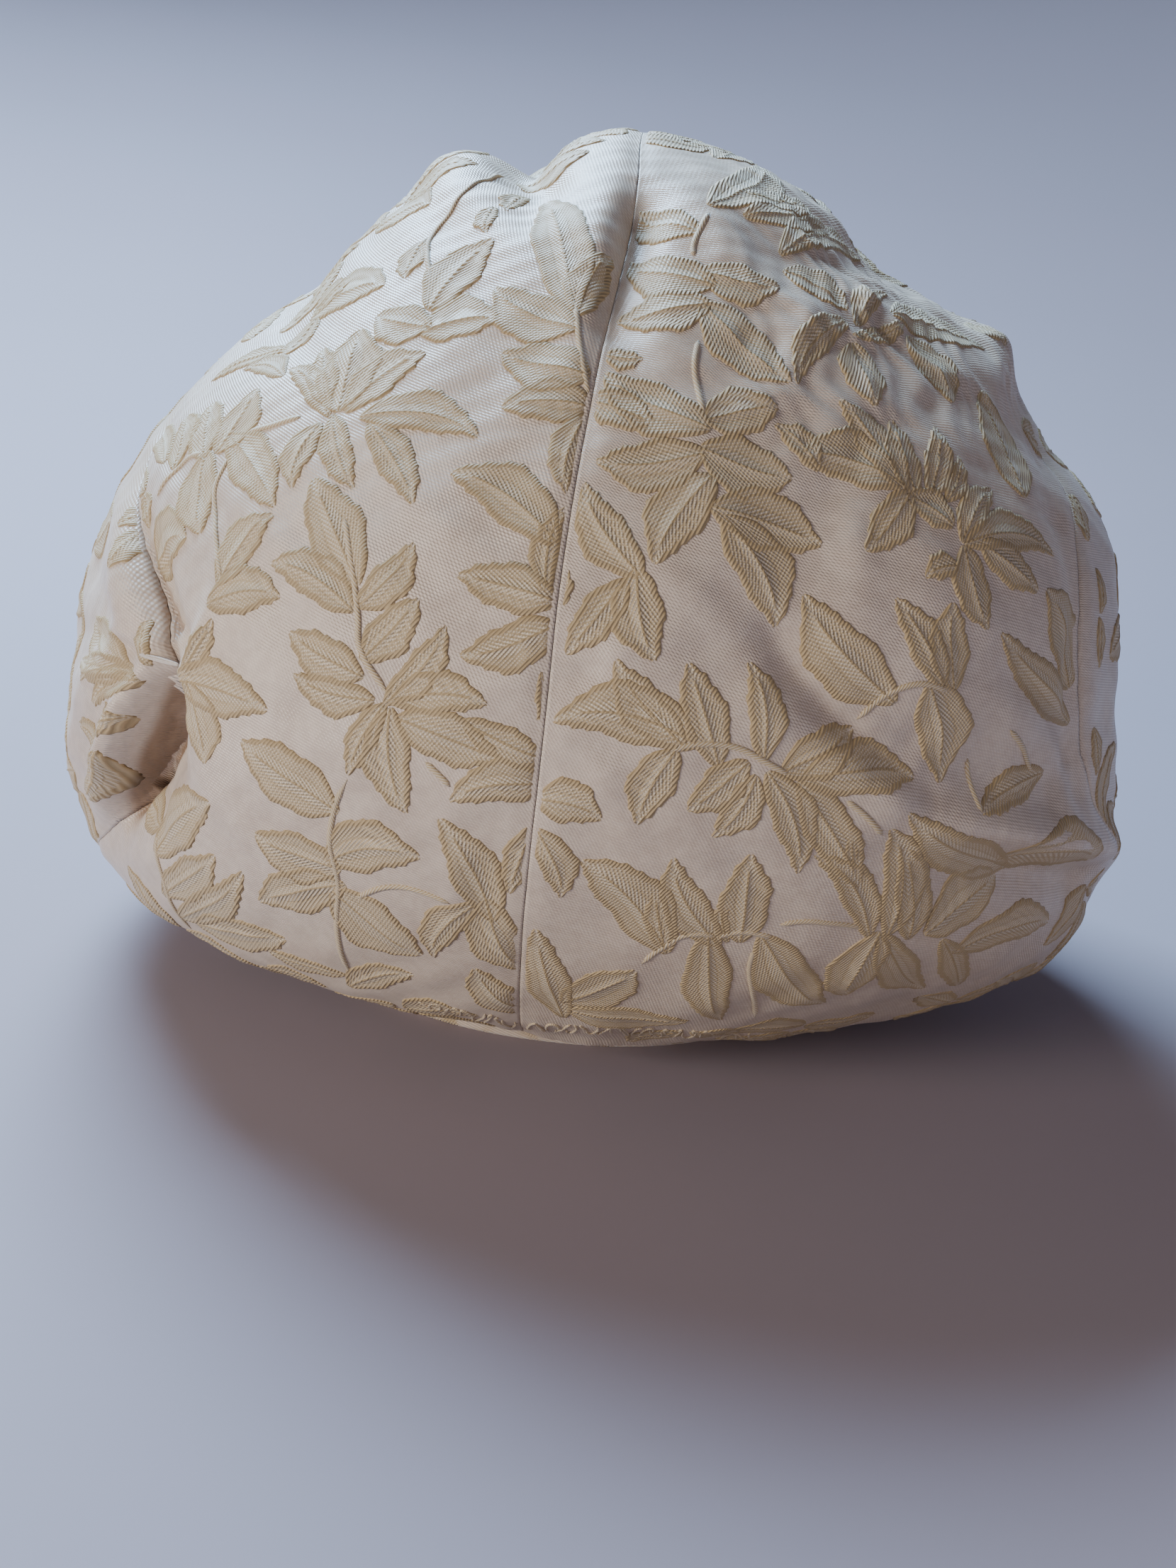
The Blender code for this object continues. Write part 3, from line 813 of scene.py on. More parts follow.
def band_cloth():
    """Band of the same cloth, seen from its plainer side."""
    recipe = Recipe("band_brocade_cloth")
    u, v = recipe.uv("cloth")
    rows = slanted(u, v, GROUND_SLANT, GROUND_PITCH)
    ribs = slanted(u, v, RIB_SLANT, RIB_PITCH)
    gold = recipe.ramp(recipe.noise(recipe.object_place(), 60.0, 1.0), 0.5, 0.58)
    pale = recipe.mix(recipe.ramp(rows, -0.8, 0.6), GROUND_SHADE, GROUND_PALE)
    return recipe.finish({
        "Base Color": recipe.mix(gold, pale, LEAF_GOLD),
        "Roughness": 0.65,
        "Sheen Weight": 0.3,
        "Normal": recipe.bump(rows * 0.5 + ribs * gold * 0.5, BAND_RELIEF),
    })


def tack_thread():
    """Pale sewing thread."""
    recipe = Recipe("tack_thread_pale")
    fibres = recipe.noise(recipe.object_place(), FIBRES_PER_METRE)
    return recipe.finish({
        "Base Color": recipe.mix(fibres, GROUND_SHADE, THREAD_PALE),
        "Roughness": 0.6,
        "Sheen Weight": 0.3,
        "Normal": recipe.bump(fibres, THREAD_RELIEF),
    })


GROUND = ground_cloth()
LEAF = leaf_cloth()
STEM = stem_cord()
BAND = band_cloth()
THREAD = tack_thread()
print("materials:", ", ".join(m.name for m in (GROUND, LEAF, STEM, BAND, THREAD)))

# %% [markdown]
# ## Pieces from grids
#
# Every piece is a mesh made from whole arrays of points in mm, which is quick even with a hundred
# thousand points. Its maps are given point by point and spread to the face corners at once. A tube or
# a cushion is a run of rings, so the numbering of rings has a helper too.

# %% Making a piece


def make_piece(name, points, faces, maps, material, flat=0):
    """A mesh from points in mm, faces (the last few flat) and UV maps with a pair for each point."""
    mesh = bpy.data.meshes.new(name)
    mesh.from_pydata(((points + AXIS_AT) * MM).tolist(), [], faces)
    mesh.materials.append(material)
    mesh.polygons.foreach_set("use_smooth", np.arange(len(mesh.polygons)) < len(mesh.polygons) - flat)
    corners = np.empty(len(mesh.loops), int)
    mesh.loops.foreach_get("vertex_index", corners)
    for layer, values in maps.items():
        made = mesh.uv_layers.new(name=layer)
        made.data.foreach_set("uv", values[corners].astype(np.float32).ravel())
    mesh.update()
    piece = in_scene(name, mesh)
    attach(piece, "root")
    triangles = sum(len(polygon.vertices) - 2 for polygon in mesh.polygons)
    print(name, triangles, "triangles")
    return piece


def grid_faces(numbers):
    """Four-cornered faces of a grid of point numbers, as an array."""
    corners = [numbers[:-1, :-1], numbers[:-1, 1:], numbers[1:, 1:], numbers[1:, :-1]]
    return np.stack([corner.ravel() for corner in corners], -1)


def ring_numbers(rings, sides, start=0):
    """Point numbers of rings of points, each ring closed by its own first number."""
    numbers = start + np.arange(rings * sides).reshape(rings, sides)
    return np.hstack([numbers, numbers[:, :1]])


def tube_faces(numbers):
    """Faces round a tube of rings, and one face over each of its two ends."""
    return grid_faces(numbers).tolist() + [numbers[0, :-1].tolist()[::-1], numbers[-1, :-1].tolist()]


CLOTH_ARC_LEVELS = np.linspace(0, POLE_LEVEL, 401)


def cloth_arc(middle):
    """Length up the cloth in mm from the rim to each of a run of levels, along one azimuth."""
    line = smooth_form(middle, CLOTH_ARC_LEVELS)
    steps = np.linalg.norm(np.diff(line, axis=0), axis=-1)
    return np.concatenate([[0.0], np.cumsum(steps)])


def cloth_map(azimuth, level, middle):
    """Cloth coordinates in mm: round the hat from a panel's middle, and up the cloth from the rim."""
    round_hat = np.radians(azimuth - middle) * form_reach(middle, level)
    up = np.interp(level, CLOTH_ARC_LEVELS, cloth_arc(middle))
    return np.stack([round_hat, up], -1)


# The fold map also sets how much painted shade the cloth gets in small folds.
def fold_map(azimuth, level):
    """How far small folds push the cloth outwards in mm, beside a zero, point by point."""
    pushed = read_map(pucker_map, azimuth, level)
    return np.stack([pushed, np.zeros_like(pushed)], -1)


print("cloth from rim to crown:", round(cloth_arc(0.0)[-1]), "mm")

# %% [markdown]
# ## Panels
#
# A panel runs round the hat from one seam to the next. Its outer face is a fine grid, its inner face
# takes every third row and column of that grid, 2 mm inwards, and each ends in one point at the
# crown. The rim and the two seam edges are strips of cloth as thick as the wall. A Solidify modifier
# could give a thickness too, but its inner face would be as fine as the outer one, for nothing.

# %% Sewn panels
PANELS = {
    # node: first seam, last seam, turn, columns
    "back_panel_left": (0, 1, 0, 127),
    "back_panel_right": (1, 2, 0, 139),
    "front_panel": (2, 0, 360, 250),
}
PANEL_ROWS = 298
INNER_EVERY = 3
SEAM_CROWDING = 0.25


def panel_middle(first_seam, last_seam, turn):
    """The azimuth half way between a panel's seams where the hat is fullest."""
    return (SEAMS[3][first_seam] + SEAMS[3][last_seam] + turn) / 2


def panel_places(first_seam, last_seam, turn, columns):
    """Azimuths and levels of a panel's grid: rows evenly up the cloth, columns closer at the seams."""
    arc = cloth_arc(panel_middle(first_seam, last_seam, turn))
    level = np.interp(np.linspace(0, arc[-1], PANEL_ROWS), arc, CLOTH_ARC_LEVELS)
    seams = through_rows(SEAM_ROWS, level)
    first = seams[:, first_seam]
    last = seams[:, last_seam] + turn
    reach = np.maximum(form_reach(0.0, level), 1)
    back_off = np.degrees(SEAM_HALF_GAP / reach)
    even = np.linspace(0, 1, columns)
    share = even - SEAM_CROWDING / TAU * np.sin(TAU * even)
    azimuth = (first + back_off)[:, None] + (last - first - 2 * back_off)[:, None] * share
    return azimuth, np.broadcast_to(level[:, None], azimuth.shape)


def wall_points(outer, inner):
    """Two grids in the order of a panel's points: outer grid, its top point, inner grid, its top point."""
    parts = [outer[:-1], outer[-1:, :1], inner[:-1], inner[-1:, :1]]
    return np.vstack([part.reshape(-1, part.shape[-1]) for part in parts])


def panel_piece(node):
    """One panel as a closed wall: fine outer face, coarser inner face, rim and seam edges."""
    first_seam, last_seam, turn, columns = PANELS[node]
    middle = panel_middle(first_seam, last_seam, turn)
    azimuth, level = panel_places(first_seam, last_seam, turn, columns)
    outer = cloth_at(azimuth, level)
    inner = outer - CLOTH_THICK * outward(cloth_at, azimuth, level)
    inner[0, :, :2] = outer[0, :, :2]  # the rim's cut edge stands upright
    corner = np.radians([SEAMS[-1][first_seam], SEAMS[-1][last_seam] + turn])
    towards = np.array([np.sin(corner.mean()), -np.cos(corner.mean()), 0.0])
    outer[-1] = cloth_at(0.0, POLE_LEVEL) + towards * SEAM_HALF_GAP / np.sin(np.ptp(corner) / 2)
    inner[-1] = outer[-1] - [0, 0, CLOTH_THICK]
    out = np.arange(outer[:-1, :, 0].size).reshape(PANEL_ROWS - 1, columns)
    top_out = out.size
    inner = inner[::INNER_EVERY, ::INNER_EVERY]
    back = top_out + 1 + np.arange(inner[:-1, :, 0].size).reshape(len(inner) - 1, -1)
    top_back = top_out + 1 + back.size
    faces = grid_faces(out).tolist() + grid_faces(back[:, ::-1]).tolist()
    faces += [[a, b, top_out] for a, b in zip(out[-1, :-1].tolist(), out[-1, 1:].tolist())]
    faces += [[b, a, top_back] for a, b in zip(back[-1, :-1].tolist(), back[-1, 1:].tolist())]
    edges = [
        (out[0, ::-1], back[0, ::-1]),
        (np.append(out[:, 0], top_out), np.append(back[:, 0], top_back)),
        (np.append(out[:, -1], top_out)[::-1], np.append(back[:, -1], top_back)[::-1]),
    ]
    curved = len(faces)
    for fine, coarse in edges:
        for k in range(len(coarse) - 1):
            stretch = fine[k * INNER_EVERY:(k + 1) * INNER_EVERY + 1].tolist()
            faces.append(stretch + [int(coarse[k + 1]), int(coarse[k])])
    maps = {"cloth": cloth_map(azimuth, level, middle), "fold": fold_map(azimuth, level)}
    for layer, values in maps.items():
        maps[layer] = wall_points(values, values[::INNER_EVERY, ::INNER_EVERY])
    flat = len(faces) - curved
    piece = make_piece(node + "_cloth", wall_points(outer, inner), faces, maps, GROUND, flat)
    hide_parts(node)
    return piece


for node in PANELS:
    panel_piece(node)

# %% [markdown]
# ## Leaves
#
# Leaves could be scattered by a rule, but a woven pattern isn't random, and cut and folded as it is
# here it doesn't repeat in sight either. So the leaves that show from behind are charted one by one in
# picture points: where a leaf's midrib starts, where its tip is, and how wide it is. The stems between
# them are short runs of picture points.

# %% Charted leaves
LEAVES_SEEN = np.array([
    # base across, base down, tip across, tip down, width
    (480, 572, 510, 462, 62), (495, 575, 603, 497, 46), (520, 592, 677, 618, 52), (525, 603, 583, 713, 50),
    (472, 592, 500, 690, 42), (450, 603, 412, 690, 38), (460, 583, 407, 520, 42), (462, 565, 458, 490, 36),
    (447, 447, 545, 401, 46), (445, 445, 500, 392, 34), (445, 452, 397, 503, 32), (398, 497, 296, 540, 24),
    (395, 530, 342, 522, 24), (310, 633, 366, 546, 50), (330, 622, 388, 717, 60), (313, 820, 388, 725, 45),
    (300, 852, 397, 843, 62), (290, 642, 303, 566, 38), (291, 645, 283, 755, 44), (247, 656, 262, 590, 38),
    (232, 650, 222, 612, 26), (205, 700, 212, 745, 22), (200, 800, 265, 757, 52), (203, 712, 165, 742, 26),
    (197, 752, 152, 803, 34), (205, 690, 200, 655, 28), (500, 815, 441, 673, 74), (490, 858, 380, 795, 60),
    (508, 850, 585, 763, 50), (515, 925, 592, 843, 55), (505, 950, 407, 890, 56), (520, 985, 412, 950, 48),
    (560, 990, 690, 995, 55), (570, 1018, 710, 1075, 62), (553, 1010, 575, 1150, 60),
    (548, 985, 630, 880, 48), (540, 1000, 490, 1095, 40), (602, 460, 530, 445, 60),
    (602, 470, 708, 452, 60), (612, 430, 697, 335, 50), (595, 345, 570, 393, 28), (697, 295, 686, 328, 22),
    (745, 283, 715, 298, 18), (806, 430, 770, 285, 75), (818, 440, 865, 365, 60), (808, 460, 697, 405, 65),
    (825, 530, 705, 497, 62), (830, 575, 705, 575, 55), (828, 590, 800, 700, 45), (775, 762, 633, 666, 72),
    (780, 848, 643, 811, 62), (780, 882, 646, 925, 62), (772, 830, 802, 712, 40), (785, 855, 800, 800, 30),
    (765, 955, 768, 1045, 26), (660, 1022, 790, 1078, 46), (775, 1118, 632, 1132, 52),
    (980, 325, 890, 290, 45), (1000, 400, 880, 365, 55), (993, 430, 868, 455, 50),
    (998, 435, 1118, 540, 62), (995, 385, 1102, 405, 50), (855, 500, 908, 505, 40),
    (835, 565, 925, 600, 50), (992, 600, 850, 525, 65), (985, 640, 838, 650, 68),
    (1002, 592, 1100, 575, 62), (998, 635, 1120, 675, 72), (1150, 660, 1092, 598, 34),
    (1000, 680, 922, 798, 74), (1015, 720, 1162, 770, 74), (1025, 740, 1093, 888, 72),
    (900, 805, 823, 678, 64), (880, 825, 797, 925, 52), (900, 812, 925, 935, 68),
    (1262, 683, 1125, 645, 66), (1272, 690, 1183, 562, 46), (1280, 700, 1220, 778, 55),
    (1252, 980, 1132, 835, 82), (960, 1045, 868, 928, 60), (1010, 1070, 970, 933, 58),
    (1075, 1065, 1055, 932, 50), (970, 1050, 777, 1018, 74), (1110, 1085, 1205, 1025, 60),
    (1140, 1100, 1292, 1098, 68), (1370, 770, 1488, 785, 44), (1360, 760, 1400, 690, 40),
    (1440, 690, 1385, 548, 50), (1340, 740, 1275, 700, 40), (1350, 800, 1305, 815, 36),
    (1325, 965, 1262, 842, 46), (1345, 965, 1345, 848, 50), (1310, 975, 1325, 1107, 70),
    (1500, 1010, 1410, 890, 46), (1505, 960, 1475, 830, 56), (1190, 460, 1125, 543, 45),
    (1210, 470, 1275, 452, 26), (1205, 490, 1235, 575, 40), (1285, 480, 1345, 570, 40),
    (1110, 362, 1228, 372, 34), (1268, 447, 1392, 492, 44), (1365, 458, 1420, 488, 32),
    (1005, 286, 1082, 236, 44), (1058, 276, 1142, 292, 32), (1058, 308, 1172, 332, 34),
    (1112, 385, 1198, 438, 42), (1212, 456, 1250, 412, 34), (1290, 695, 1257, 590, 34),
    (1312, 695, 1318, 600, 34), (1335, 702, 1352, 642, 26), (1362, 778, 1394, 890, 42),
    (1388, 772, 1465, 836, 40), (1512, 702, 1534, 765, 26), (1546, 805, 1552, 868, 20),
    (1550, 875, 1550, 945, 20), (1542, 1032, 1547, 1095, 22), (180, 938, 135, 868, 48),
    (183, 944, 115, 930, 32), (190, 956, 112, 960, 28), (200, 963, 133, 998, 34),
    (185, 1012, 132, 1028, 28), (126, 1052, 112, 1020, 24), (136, 1064, 120, 1122, 24),
    (214, 935, 215, 872, 34), (258, 942, 300, 872, 30), (262, 962, 380, 1003, 62),
    (262, 970, 288, 1080, 44), (228, 1160, 222, 1103, 28), (226, 1200, 297, 1132, 54),
    (237, 1258, 304, 1205, 58), (262, 1290, 343, 1228, 54), (288, 1305, 405, 1325, 44),
    (467, 1138, 338, 1043, 66), (472, 1222, 357, 1175, 56), (470, 1215, 595, 1210, 62),
    (478, 1250, 364, 1272, 52), (478, 1262, 598, 1348, 58), (672, 1278, 612, 1352, 46),
    (690, 1290, 618, 1152, 62), (500, 1390, 585, 1375, 32), (480, 1372, 370, 1335, 26),
    (745, 1430, 668, 1365, 42), (760, 1130, 850, 1157, 56), (750, 1172, 717, 1262, 46),
    (757, 1175, 790, 1268, 46), (690, 1275, 740, 1372, 60), (792, 1425, 755, 1308, 50),
    (800, 1410, 898, 1368, 46), (812, 1425, 975, 1440, 42), (930, 1335, 816, 1213, 66),
    (937, 1335, 925, 1250, 38), (1010, 1325, 950, 1208, 58), (1026, 1325, 1024, 1270, 24),
    (1045, 1320, 1060, 1203, 62), (1000, 1322, 1018, 1440, 64), (1080, 1325, 1165, 1415, 62),
    (950, 1065, 898, 1165, 58), (1050, 1080, 968, 1145, 52), (1062, 1100, 1003, 1182, 48),
    (1085, 1100, 1125, 1235, 58), (1130, 1115, 1215, 1255, 62), (1220, 1315, 1147, 1205, 50),
    (1250, 1310, 1255, 1168, 56), (1280, 1315, 1272, 1190, 46), (1310, 1310, 1405, 1232, 60),
    (1410, 1215, 1280, 1145, 60), (1412, 1215, 1535, 1214, 44), (1465, 1095, 1385, 1150, 42),
    (1238, 1320, 1190, 1405, 50), (1245, 1322, 1305, 1395, 56), (1330, 1330, 1350, 1390, 40),
    (1350, 1340, 1480, 1300, 40), (1207, 1220, 1207, 1175, 18),
], float)

STEMS_SEEN = [
    # runs of across and down
    [(325, 641), (303, 695), (305, 760), (312, 820)],
    [(350, 610), (385, 600), (425, 588)],
    [(285, 640), (262, 650), (222, 700)],
    [(485, 720), (495, 790), (505, 870), (510, 920), (550, 985)],
    [(608, 400), (605, 340), (640, 290), (680, 255), (712, 250)],
    [(592, 350), (603, 335)],
    [(812, 430), (818, 490), (830, 560)],
    [(600, 1075), (635, 1110)],
    [(1000, 300), (980, 340), (978, 360)],
    [(985, 480), (980, 520), (993, 590)],
    [(1208, 1015), (1255, 978), (1300, 965), (1340, 975)],
    [(225, 1170), (222, 1210), (232, 1245), (245, 1280), (270, 1310)],
    [(490, 1100), (472, 1140), (465, 1190), (473, 1225), (477, 1260), (475, 1300), (480, 1340), (497, 1380)],
    [(500, 1270), (530, 1255), (570, 1252), (605, 1262), (635, 1275)],
    [(905, 1360), (930, 1340), (960, 1322), (990, 1318), (1010, 1322)],
    [(1010, 1322), (1050, 1315), (1090, 1322)],
    [(1063, 1340), (1058, 1380), (1065, 1435)],
    [(1425, 1030), (1445, 1060), (1455, 1090)],
    [(1365, 1070), (1370, 1110), (1385, 1145)],
    [(1100, 1305), (1140, 1300), (1175, 1303), (1220, 1310)],
    [(1195, 1130), (1220, 1150), (1245, 1178)],
    [(940, 1060), (990, 1050), (1040, 1055), (1080, 1075), (1115, 1095)],
]
print("leaves charted:", len(LEAVES_SEEN), "stems charted:", len(STEMS_SEEN))

# %% [markdown]
# A leaf lies in a flat chart of the hat: the crown is in the middle, and a point at a level lies
# (8 - level) from it in the direction of its azimuth. The chart is smooth even over the crown. Its
# metric at the middle of each leaf, how many mm of cloth a step in the chart covers, turns widths
# in mm into steps across the leaf.

# %% The chart of the hat


def to_chart(azimuth, level):
    """Chart coordinates of places on the hat."""
    distance = POLE_LEVEL - level
    return np.stack([distance * np.sin(np.radians(azimuth)), -distance * np.cos(np.radians(azimuth))], -1)


def from_chart(chart):
    """Azimuths from -180 to 180 and levels of chart coordinates."""
    azimuth = np.degrees(np.arctan2(chart[..., 0], -chart[..., 1]))
    return azimuth, POLE_LEVEL - np.hypot(chart[..., 0], chart[..., 1])


def chart_under(pixels):
    """Chart coordinates of the cloth seen at picture points."""
    return to_chart(*cloth_under(pixels).T)


def chart_metric(chart):
    """Two by two metric in square mm: the products of the cloth's steps for small chart steps."""
    step = 0.02
    steps = []
    for shift in ([step, 0], [0, step]):
        ahead = smooth_form(*from_chart(chart + shift))
        behind = smooth_form(*from_chart(chart - shift))
        steps.append((ahead - behind) / (2 * step))
    jacobian = np.stack(steps, -1)
    return np.swapaxes(jacobian, -1, -2) @ jacobian


def square_to(axis, metric):
    """A chart step 1 mm long that is square to axis on the cloth, to its left."""
    leaning = np.einsum("nij,nj->ni", metric, axis)
    step = np.stack([-leaning[:, 1], leaning[:, 0]], -1)
    return step / cloth_length(step, metric)[:, None]


def cloth_length(step, metric):
    """How many mm of cloth chart steps cover."""
    return np.sqrt(np.einsum("ni,nij,nj->n", step, metric, step))


WIDEST = 1.35
WIDEST_OF_LENGTH = 0.6
NARROWEST = 3.0
BASE_REACH = 0.10


def leaves_from_picture(table):
    """Bases and tips in the chart and widths in mm, of leaves charted in picture points."""
    base = table[:, 0:2]
    tip = table[:, 2:4]
    axis = tip - base
    base = base - BASE_REACH * axis
    half = np.stack([-axis[:, 1], axis[:, 0]], -1)
    half *= (table[:, 4] / 2 / np.linalg.norm(axis, axis=-1))[:, None]
    middle = (base + tip) / 2
    chart = chart_under(np.vstack([base, tip, middle - half, middle + half])).reshape(4, -1, 2)
    metric = chart_metric((chart[0] + chart[1]) / 2)
    length = cloth_length(chart[1] - chart[0], metric)
    width = cloth_length(chart[3] - chart[2], metric)
    seen_square = table[:, 4] * CAMERA_DISTANCE / FOCAL_PIXELS
    most = np.minimum(WIDEST_OF_LENGTH * length, WIDEST * seen_square)
    return chart[0], chart[1], np.clip(width, NARROWEST, most), length


seen_base, seen_tip, seen_width, seen_length = leaves_from_picture(LEAVES_SEEN)
print("leaf lengths from", seen_length.min().round(), "to", seen_length.max().round(), "mm")

# %% [markdown]
# The sides and the front can't be charted from behind, so a repeat of like leaves covers them: a spray
# of eight leaves, and a sprig of three between the sprays. Nothing says how the real repeat runs there,
# so this is a guess. A repeated leaf is left out where the camera would see it or where it would lie
# on a charted one.

# %% The repeat out of sight
SPRAY = [
    # base right, base up, tip right, tip up, width, all mm
    (2, 22, 8, 52, 15),
    (1, 15, -22, 35, 14),
    (3, 13, 27, 30, 14),
    (0, 4, -28, 12, 14),
    (1, 0, 29, 6, 15),
    (-1, -6, -27, -14, 14),
    (0, -8, 25, -22, 14),
    (-1, -14, -8, -44, 14),
]
SPRIG = [
    # base right, base up, tip right, tip up, width, all mm
    (-1, 1, -20, 15, 12),
    (1, 1, 21, 9, 12),
    (0, -2, 5, -27, 12),
]
REPEAT_ROUND = 92.0
REPEAT_UP = 64.0
REPEAT_START = 38.0
SPRIG_SHIFT = 0.5
STAGGER = 0.25
SPIN_STEP = 25.0
FRONT_MIDDLE = 190.0
LEAF_CLEARANCE = 13.0
UNSEEN_LEVELS = (0.35, 7.9)
LEAST_SEEN = 0.25
LEAF_SHARES = (0.1, 0.5, 0.9)
REPEAT_COLUMNS = range(-6, 7)


def repeat_leaves():
    """Sprays and sprigs on a staggered lattice in mm of cloth, each turned a little from the last."""
    arc = cloth_arc(FRONT_MIDDLE)
    rows = []
    for row, up in enumerate(np.arange(REPEAT_START, arc[-1], REPEAT_UP)):
        level = np.interp(up, arc, CLOTH_ARC_LEVELS)
        reach = form_reach(FRONT_MIDDLE, level)
        for column in REPEAT_COLUMNS:
            for group, shift in ((SPRAY, 0.0), (SPRIG, SPRIG_SHIFT)):
                turned = math.degrees((column + shift + (row % 2) * STAGGER) * REPEAT_ROUND / reach)
                if abs(turned) < 180:
                    spin = SPIN_STEP * ((row + 2 * column) % 5 - 2)
                    rows += [(FRONT_MIDDLE + turned, level + shift / 2, spin, *leaf) for leaf in group]
    azimuth, level, spin, base_x, base_y, tip_x, tip_y, width = np.array(rows).T
    centre = to_chart(azimuth, np.minimum(level, UNSEEN_LEVELS[1]))
    metric = chart_metric(centre)
    turned = np.radians(azimuth)
    right = np.stack([np.cos(turned), np.sin(turned)], -1)
    right = right / cloth_length(right, metric)[:, None]
    left = square_to(right, metric)
    aim = np.radians(spin)[:, None]
    first = np.cos(aim) * right + np.sin(aim) * left
    second = np.cos(aim) * left - np.sin(aim) * right
    base = centre + base_x[:, None] * first + base_y[:, None] * second
    tip = centre + tip_x[:, None] * first + tip_y[:, None] * second
    return base, tip, width


def seen_squarely(azimuth, level):
    """How squarely places face the camera: 1 straight at it, 0 edge on, negative facing away."""
    towards = unit(CAMERA_AT - cloth_at(azimuth, level))
    return (outward(smooth_form, azimuth, level) * towards).sum(-1)


def clear_of(base, tip, others):
    """Which leaves have their base, middle and tip at least the clearance from other leaves' points."""
    taken = smooth_form(*from_chart(others))
    clear = np.ones(len(base), bool)
    for share in LEAF_SHARES:
        points = smooth_form(*from_chart(base + share * (tip - base)))
        gap = np.linalg.norm(points[:, None] - taken, axis=-1).min(1)
        clear &= gap > LEAF_CLEARANCE
    return clear


repeat_base, repeat_tip, repeat_width = repeat_leaves()
middles = [seen_base + share * (seen_tip - seen_base) for share in LEAF_SHARES]
middle_azimuth, middle_level = from_chart((repeat_base + repeat_tip) / 2)
unseen = (middle_level > UNSEEN_LEVELS[0]) & (middle_level < UNSEEN_LEVELS[1])
unseen &= seen_squarely(middle_azimuth, middle_level) < LEAST_SEEN
unseen &= clear_of(repeat_base, repeat_tip, np.vstack(middles))
leaf_base = np.vstack([seen_base, repeat_base[unseen]])
leaf_tip = np.vstack([seen_tip, repeat_tip[unseen]])
leaf_width = np.concatenate([seen_width, repeat_width[unseen]])
print("leaves on the hat:", len(leaf_base))

# %% [markdown]
# A leaf is a closed, low cushion. Along it goes the share s from base to tip, and half its width is
# s^0.8 (1 - s)^0.92, scaled to the leaf, with two or three soft lobes and small teeth. Across it
# the edge is a raised rib about 2 mm wide, the inside is lower, and the midrib stands up again. A
# leaf could also be painted on the cloth, but then its raised edge would catch no light.

# %% Leaf outlines
BASE_POWER = 0.8
TIP_POWER = 0.92
WIDTH_GAIN = 1.16
LEAST_HALF_WIDTH = 0.12
LOBE = 0.07
LOBES = 2.4
TOOTH_PITCH = 4.3
TOOTH = 1.25
TOOTHLESS_ENDS = 12
LEAF_EDGES = np.array([0.0, 0.3, 1.0, 1.9])
EDGE_CAPS = np.array([0.0, 0.14, 0.34, 0.56])
MIDRIB_HALF = 0.5
MIDRIB_CAP = 0.4


def leaf_half_width(share, length, width, phase):
    """Half the width in mm at a share from base to tip, with lobes and teeth."""
    plain = share ** BASE_POWER * (1 - share) ** TIP_POWER
    fullest = BASE_POWER / (BASE_POWER + TIP_POWER)
    plain = plain / (fullest ** BASE_POWER * (1 - fullest) ** TIP_POWER)
    lobes = 1 + LOBE * np.sin(TAU * LOBES * share + phase)
    teeth = (share * length / TOOTH_PITCH + phase) % 1.0
    ends = np.clip(TOOTHLESS_ENDS * share * (1 - share), 0, 1)
    return WIDTH_GAIN * width / 2 * plain * lobes + TOOTH * (teeth - 0.5) * share * ends + LEAST_HALF_WIDTH


def side_shares(half_width):
    """Shares of the half width across half a leaf: edge columns a set distance in, then the inside."""
    edge = 1 - np.minimum(LEAF_EDGES / half_width[..., None], EDGE_CAPS)
    flank = np.minimum(MIDRIB_HALF / half_width[..., None], edge[..., -1:] * MIDRIB_CAP)
    between = (edge[..., -1:] + flank) / 2
    return np.concatenate([edge, between, flank, 0 * flank], -1)


widest_share = BASE_POWER / (BASE_POWER + TIP_POWER)
print("a leaf 14 mm wide is cut", (2 * leaf_half_width(widest_share, 40, 14, 0)).round(1), "mm wide")

# %% [markdown]
# The hat is cut out of woven cloth, so a leaf ends where its panel is sewn. Points of a leaf that
# would pass a seam or the rim are held back just short of it, and they sink into the cloth there, so
# that no leaf runs on over the seam.

# %% Leaves held within their panels
SEAM_HOLD = 0.35
SEAM_TURN = 0.85
RIM_LEVEL_MM = 38.0
SUNK_WITHIN = 0.5
SUNK_OVER = 1.6
UNDERSIDE = -0.55


def panel_of(azimuth, level):
    """Which panel each place is on: 0 left, 1 right, 2 front."""
    turns = seam_turns(azimuth, level)
    seams = through_rows(SEAM_ROWS, level)
    on_left = (azimuth > seams[:, 0]) & (turns[:, 1] < 0) & (azimuth < 90)
    on_right = (turns[:, 1] >= 0) & (azimuth < seams[:, 2])
    return np.where(on_left, 0, np.where(on_right, 1, 2))


def held_inside(distance):
    """Distances from a seam that never pass it: under 1.2 mm they settle to a third of a mm."""
    start = SEAM_HOLD + SEAM_TURN
    held = SEAM_HOLD + SEAM_TURN * np.exp((np.minimum(distance, start) - start) / SEAM_TURN)
    return np.where(distance > start, distance, held)


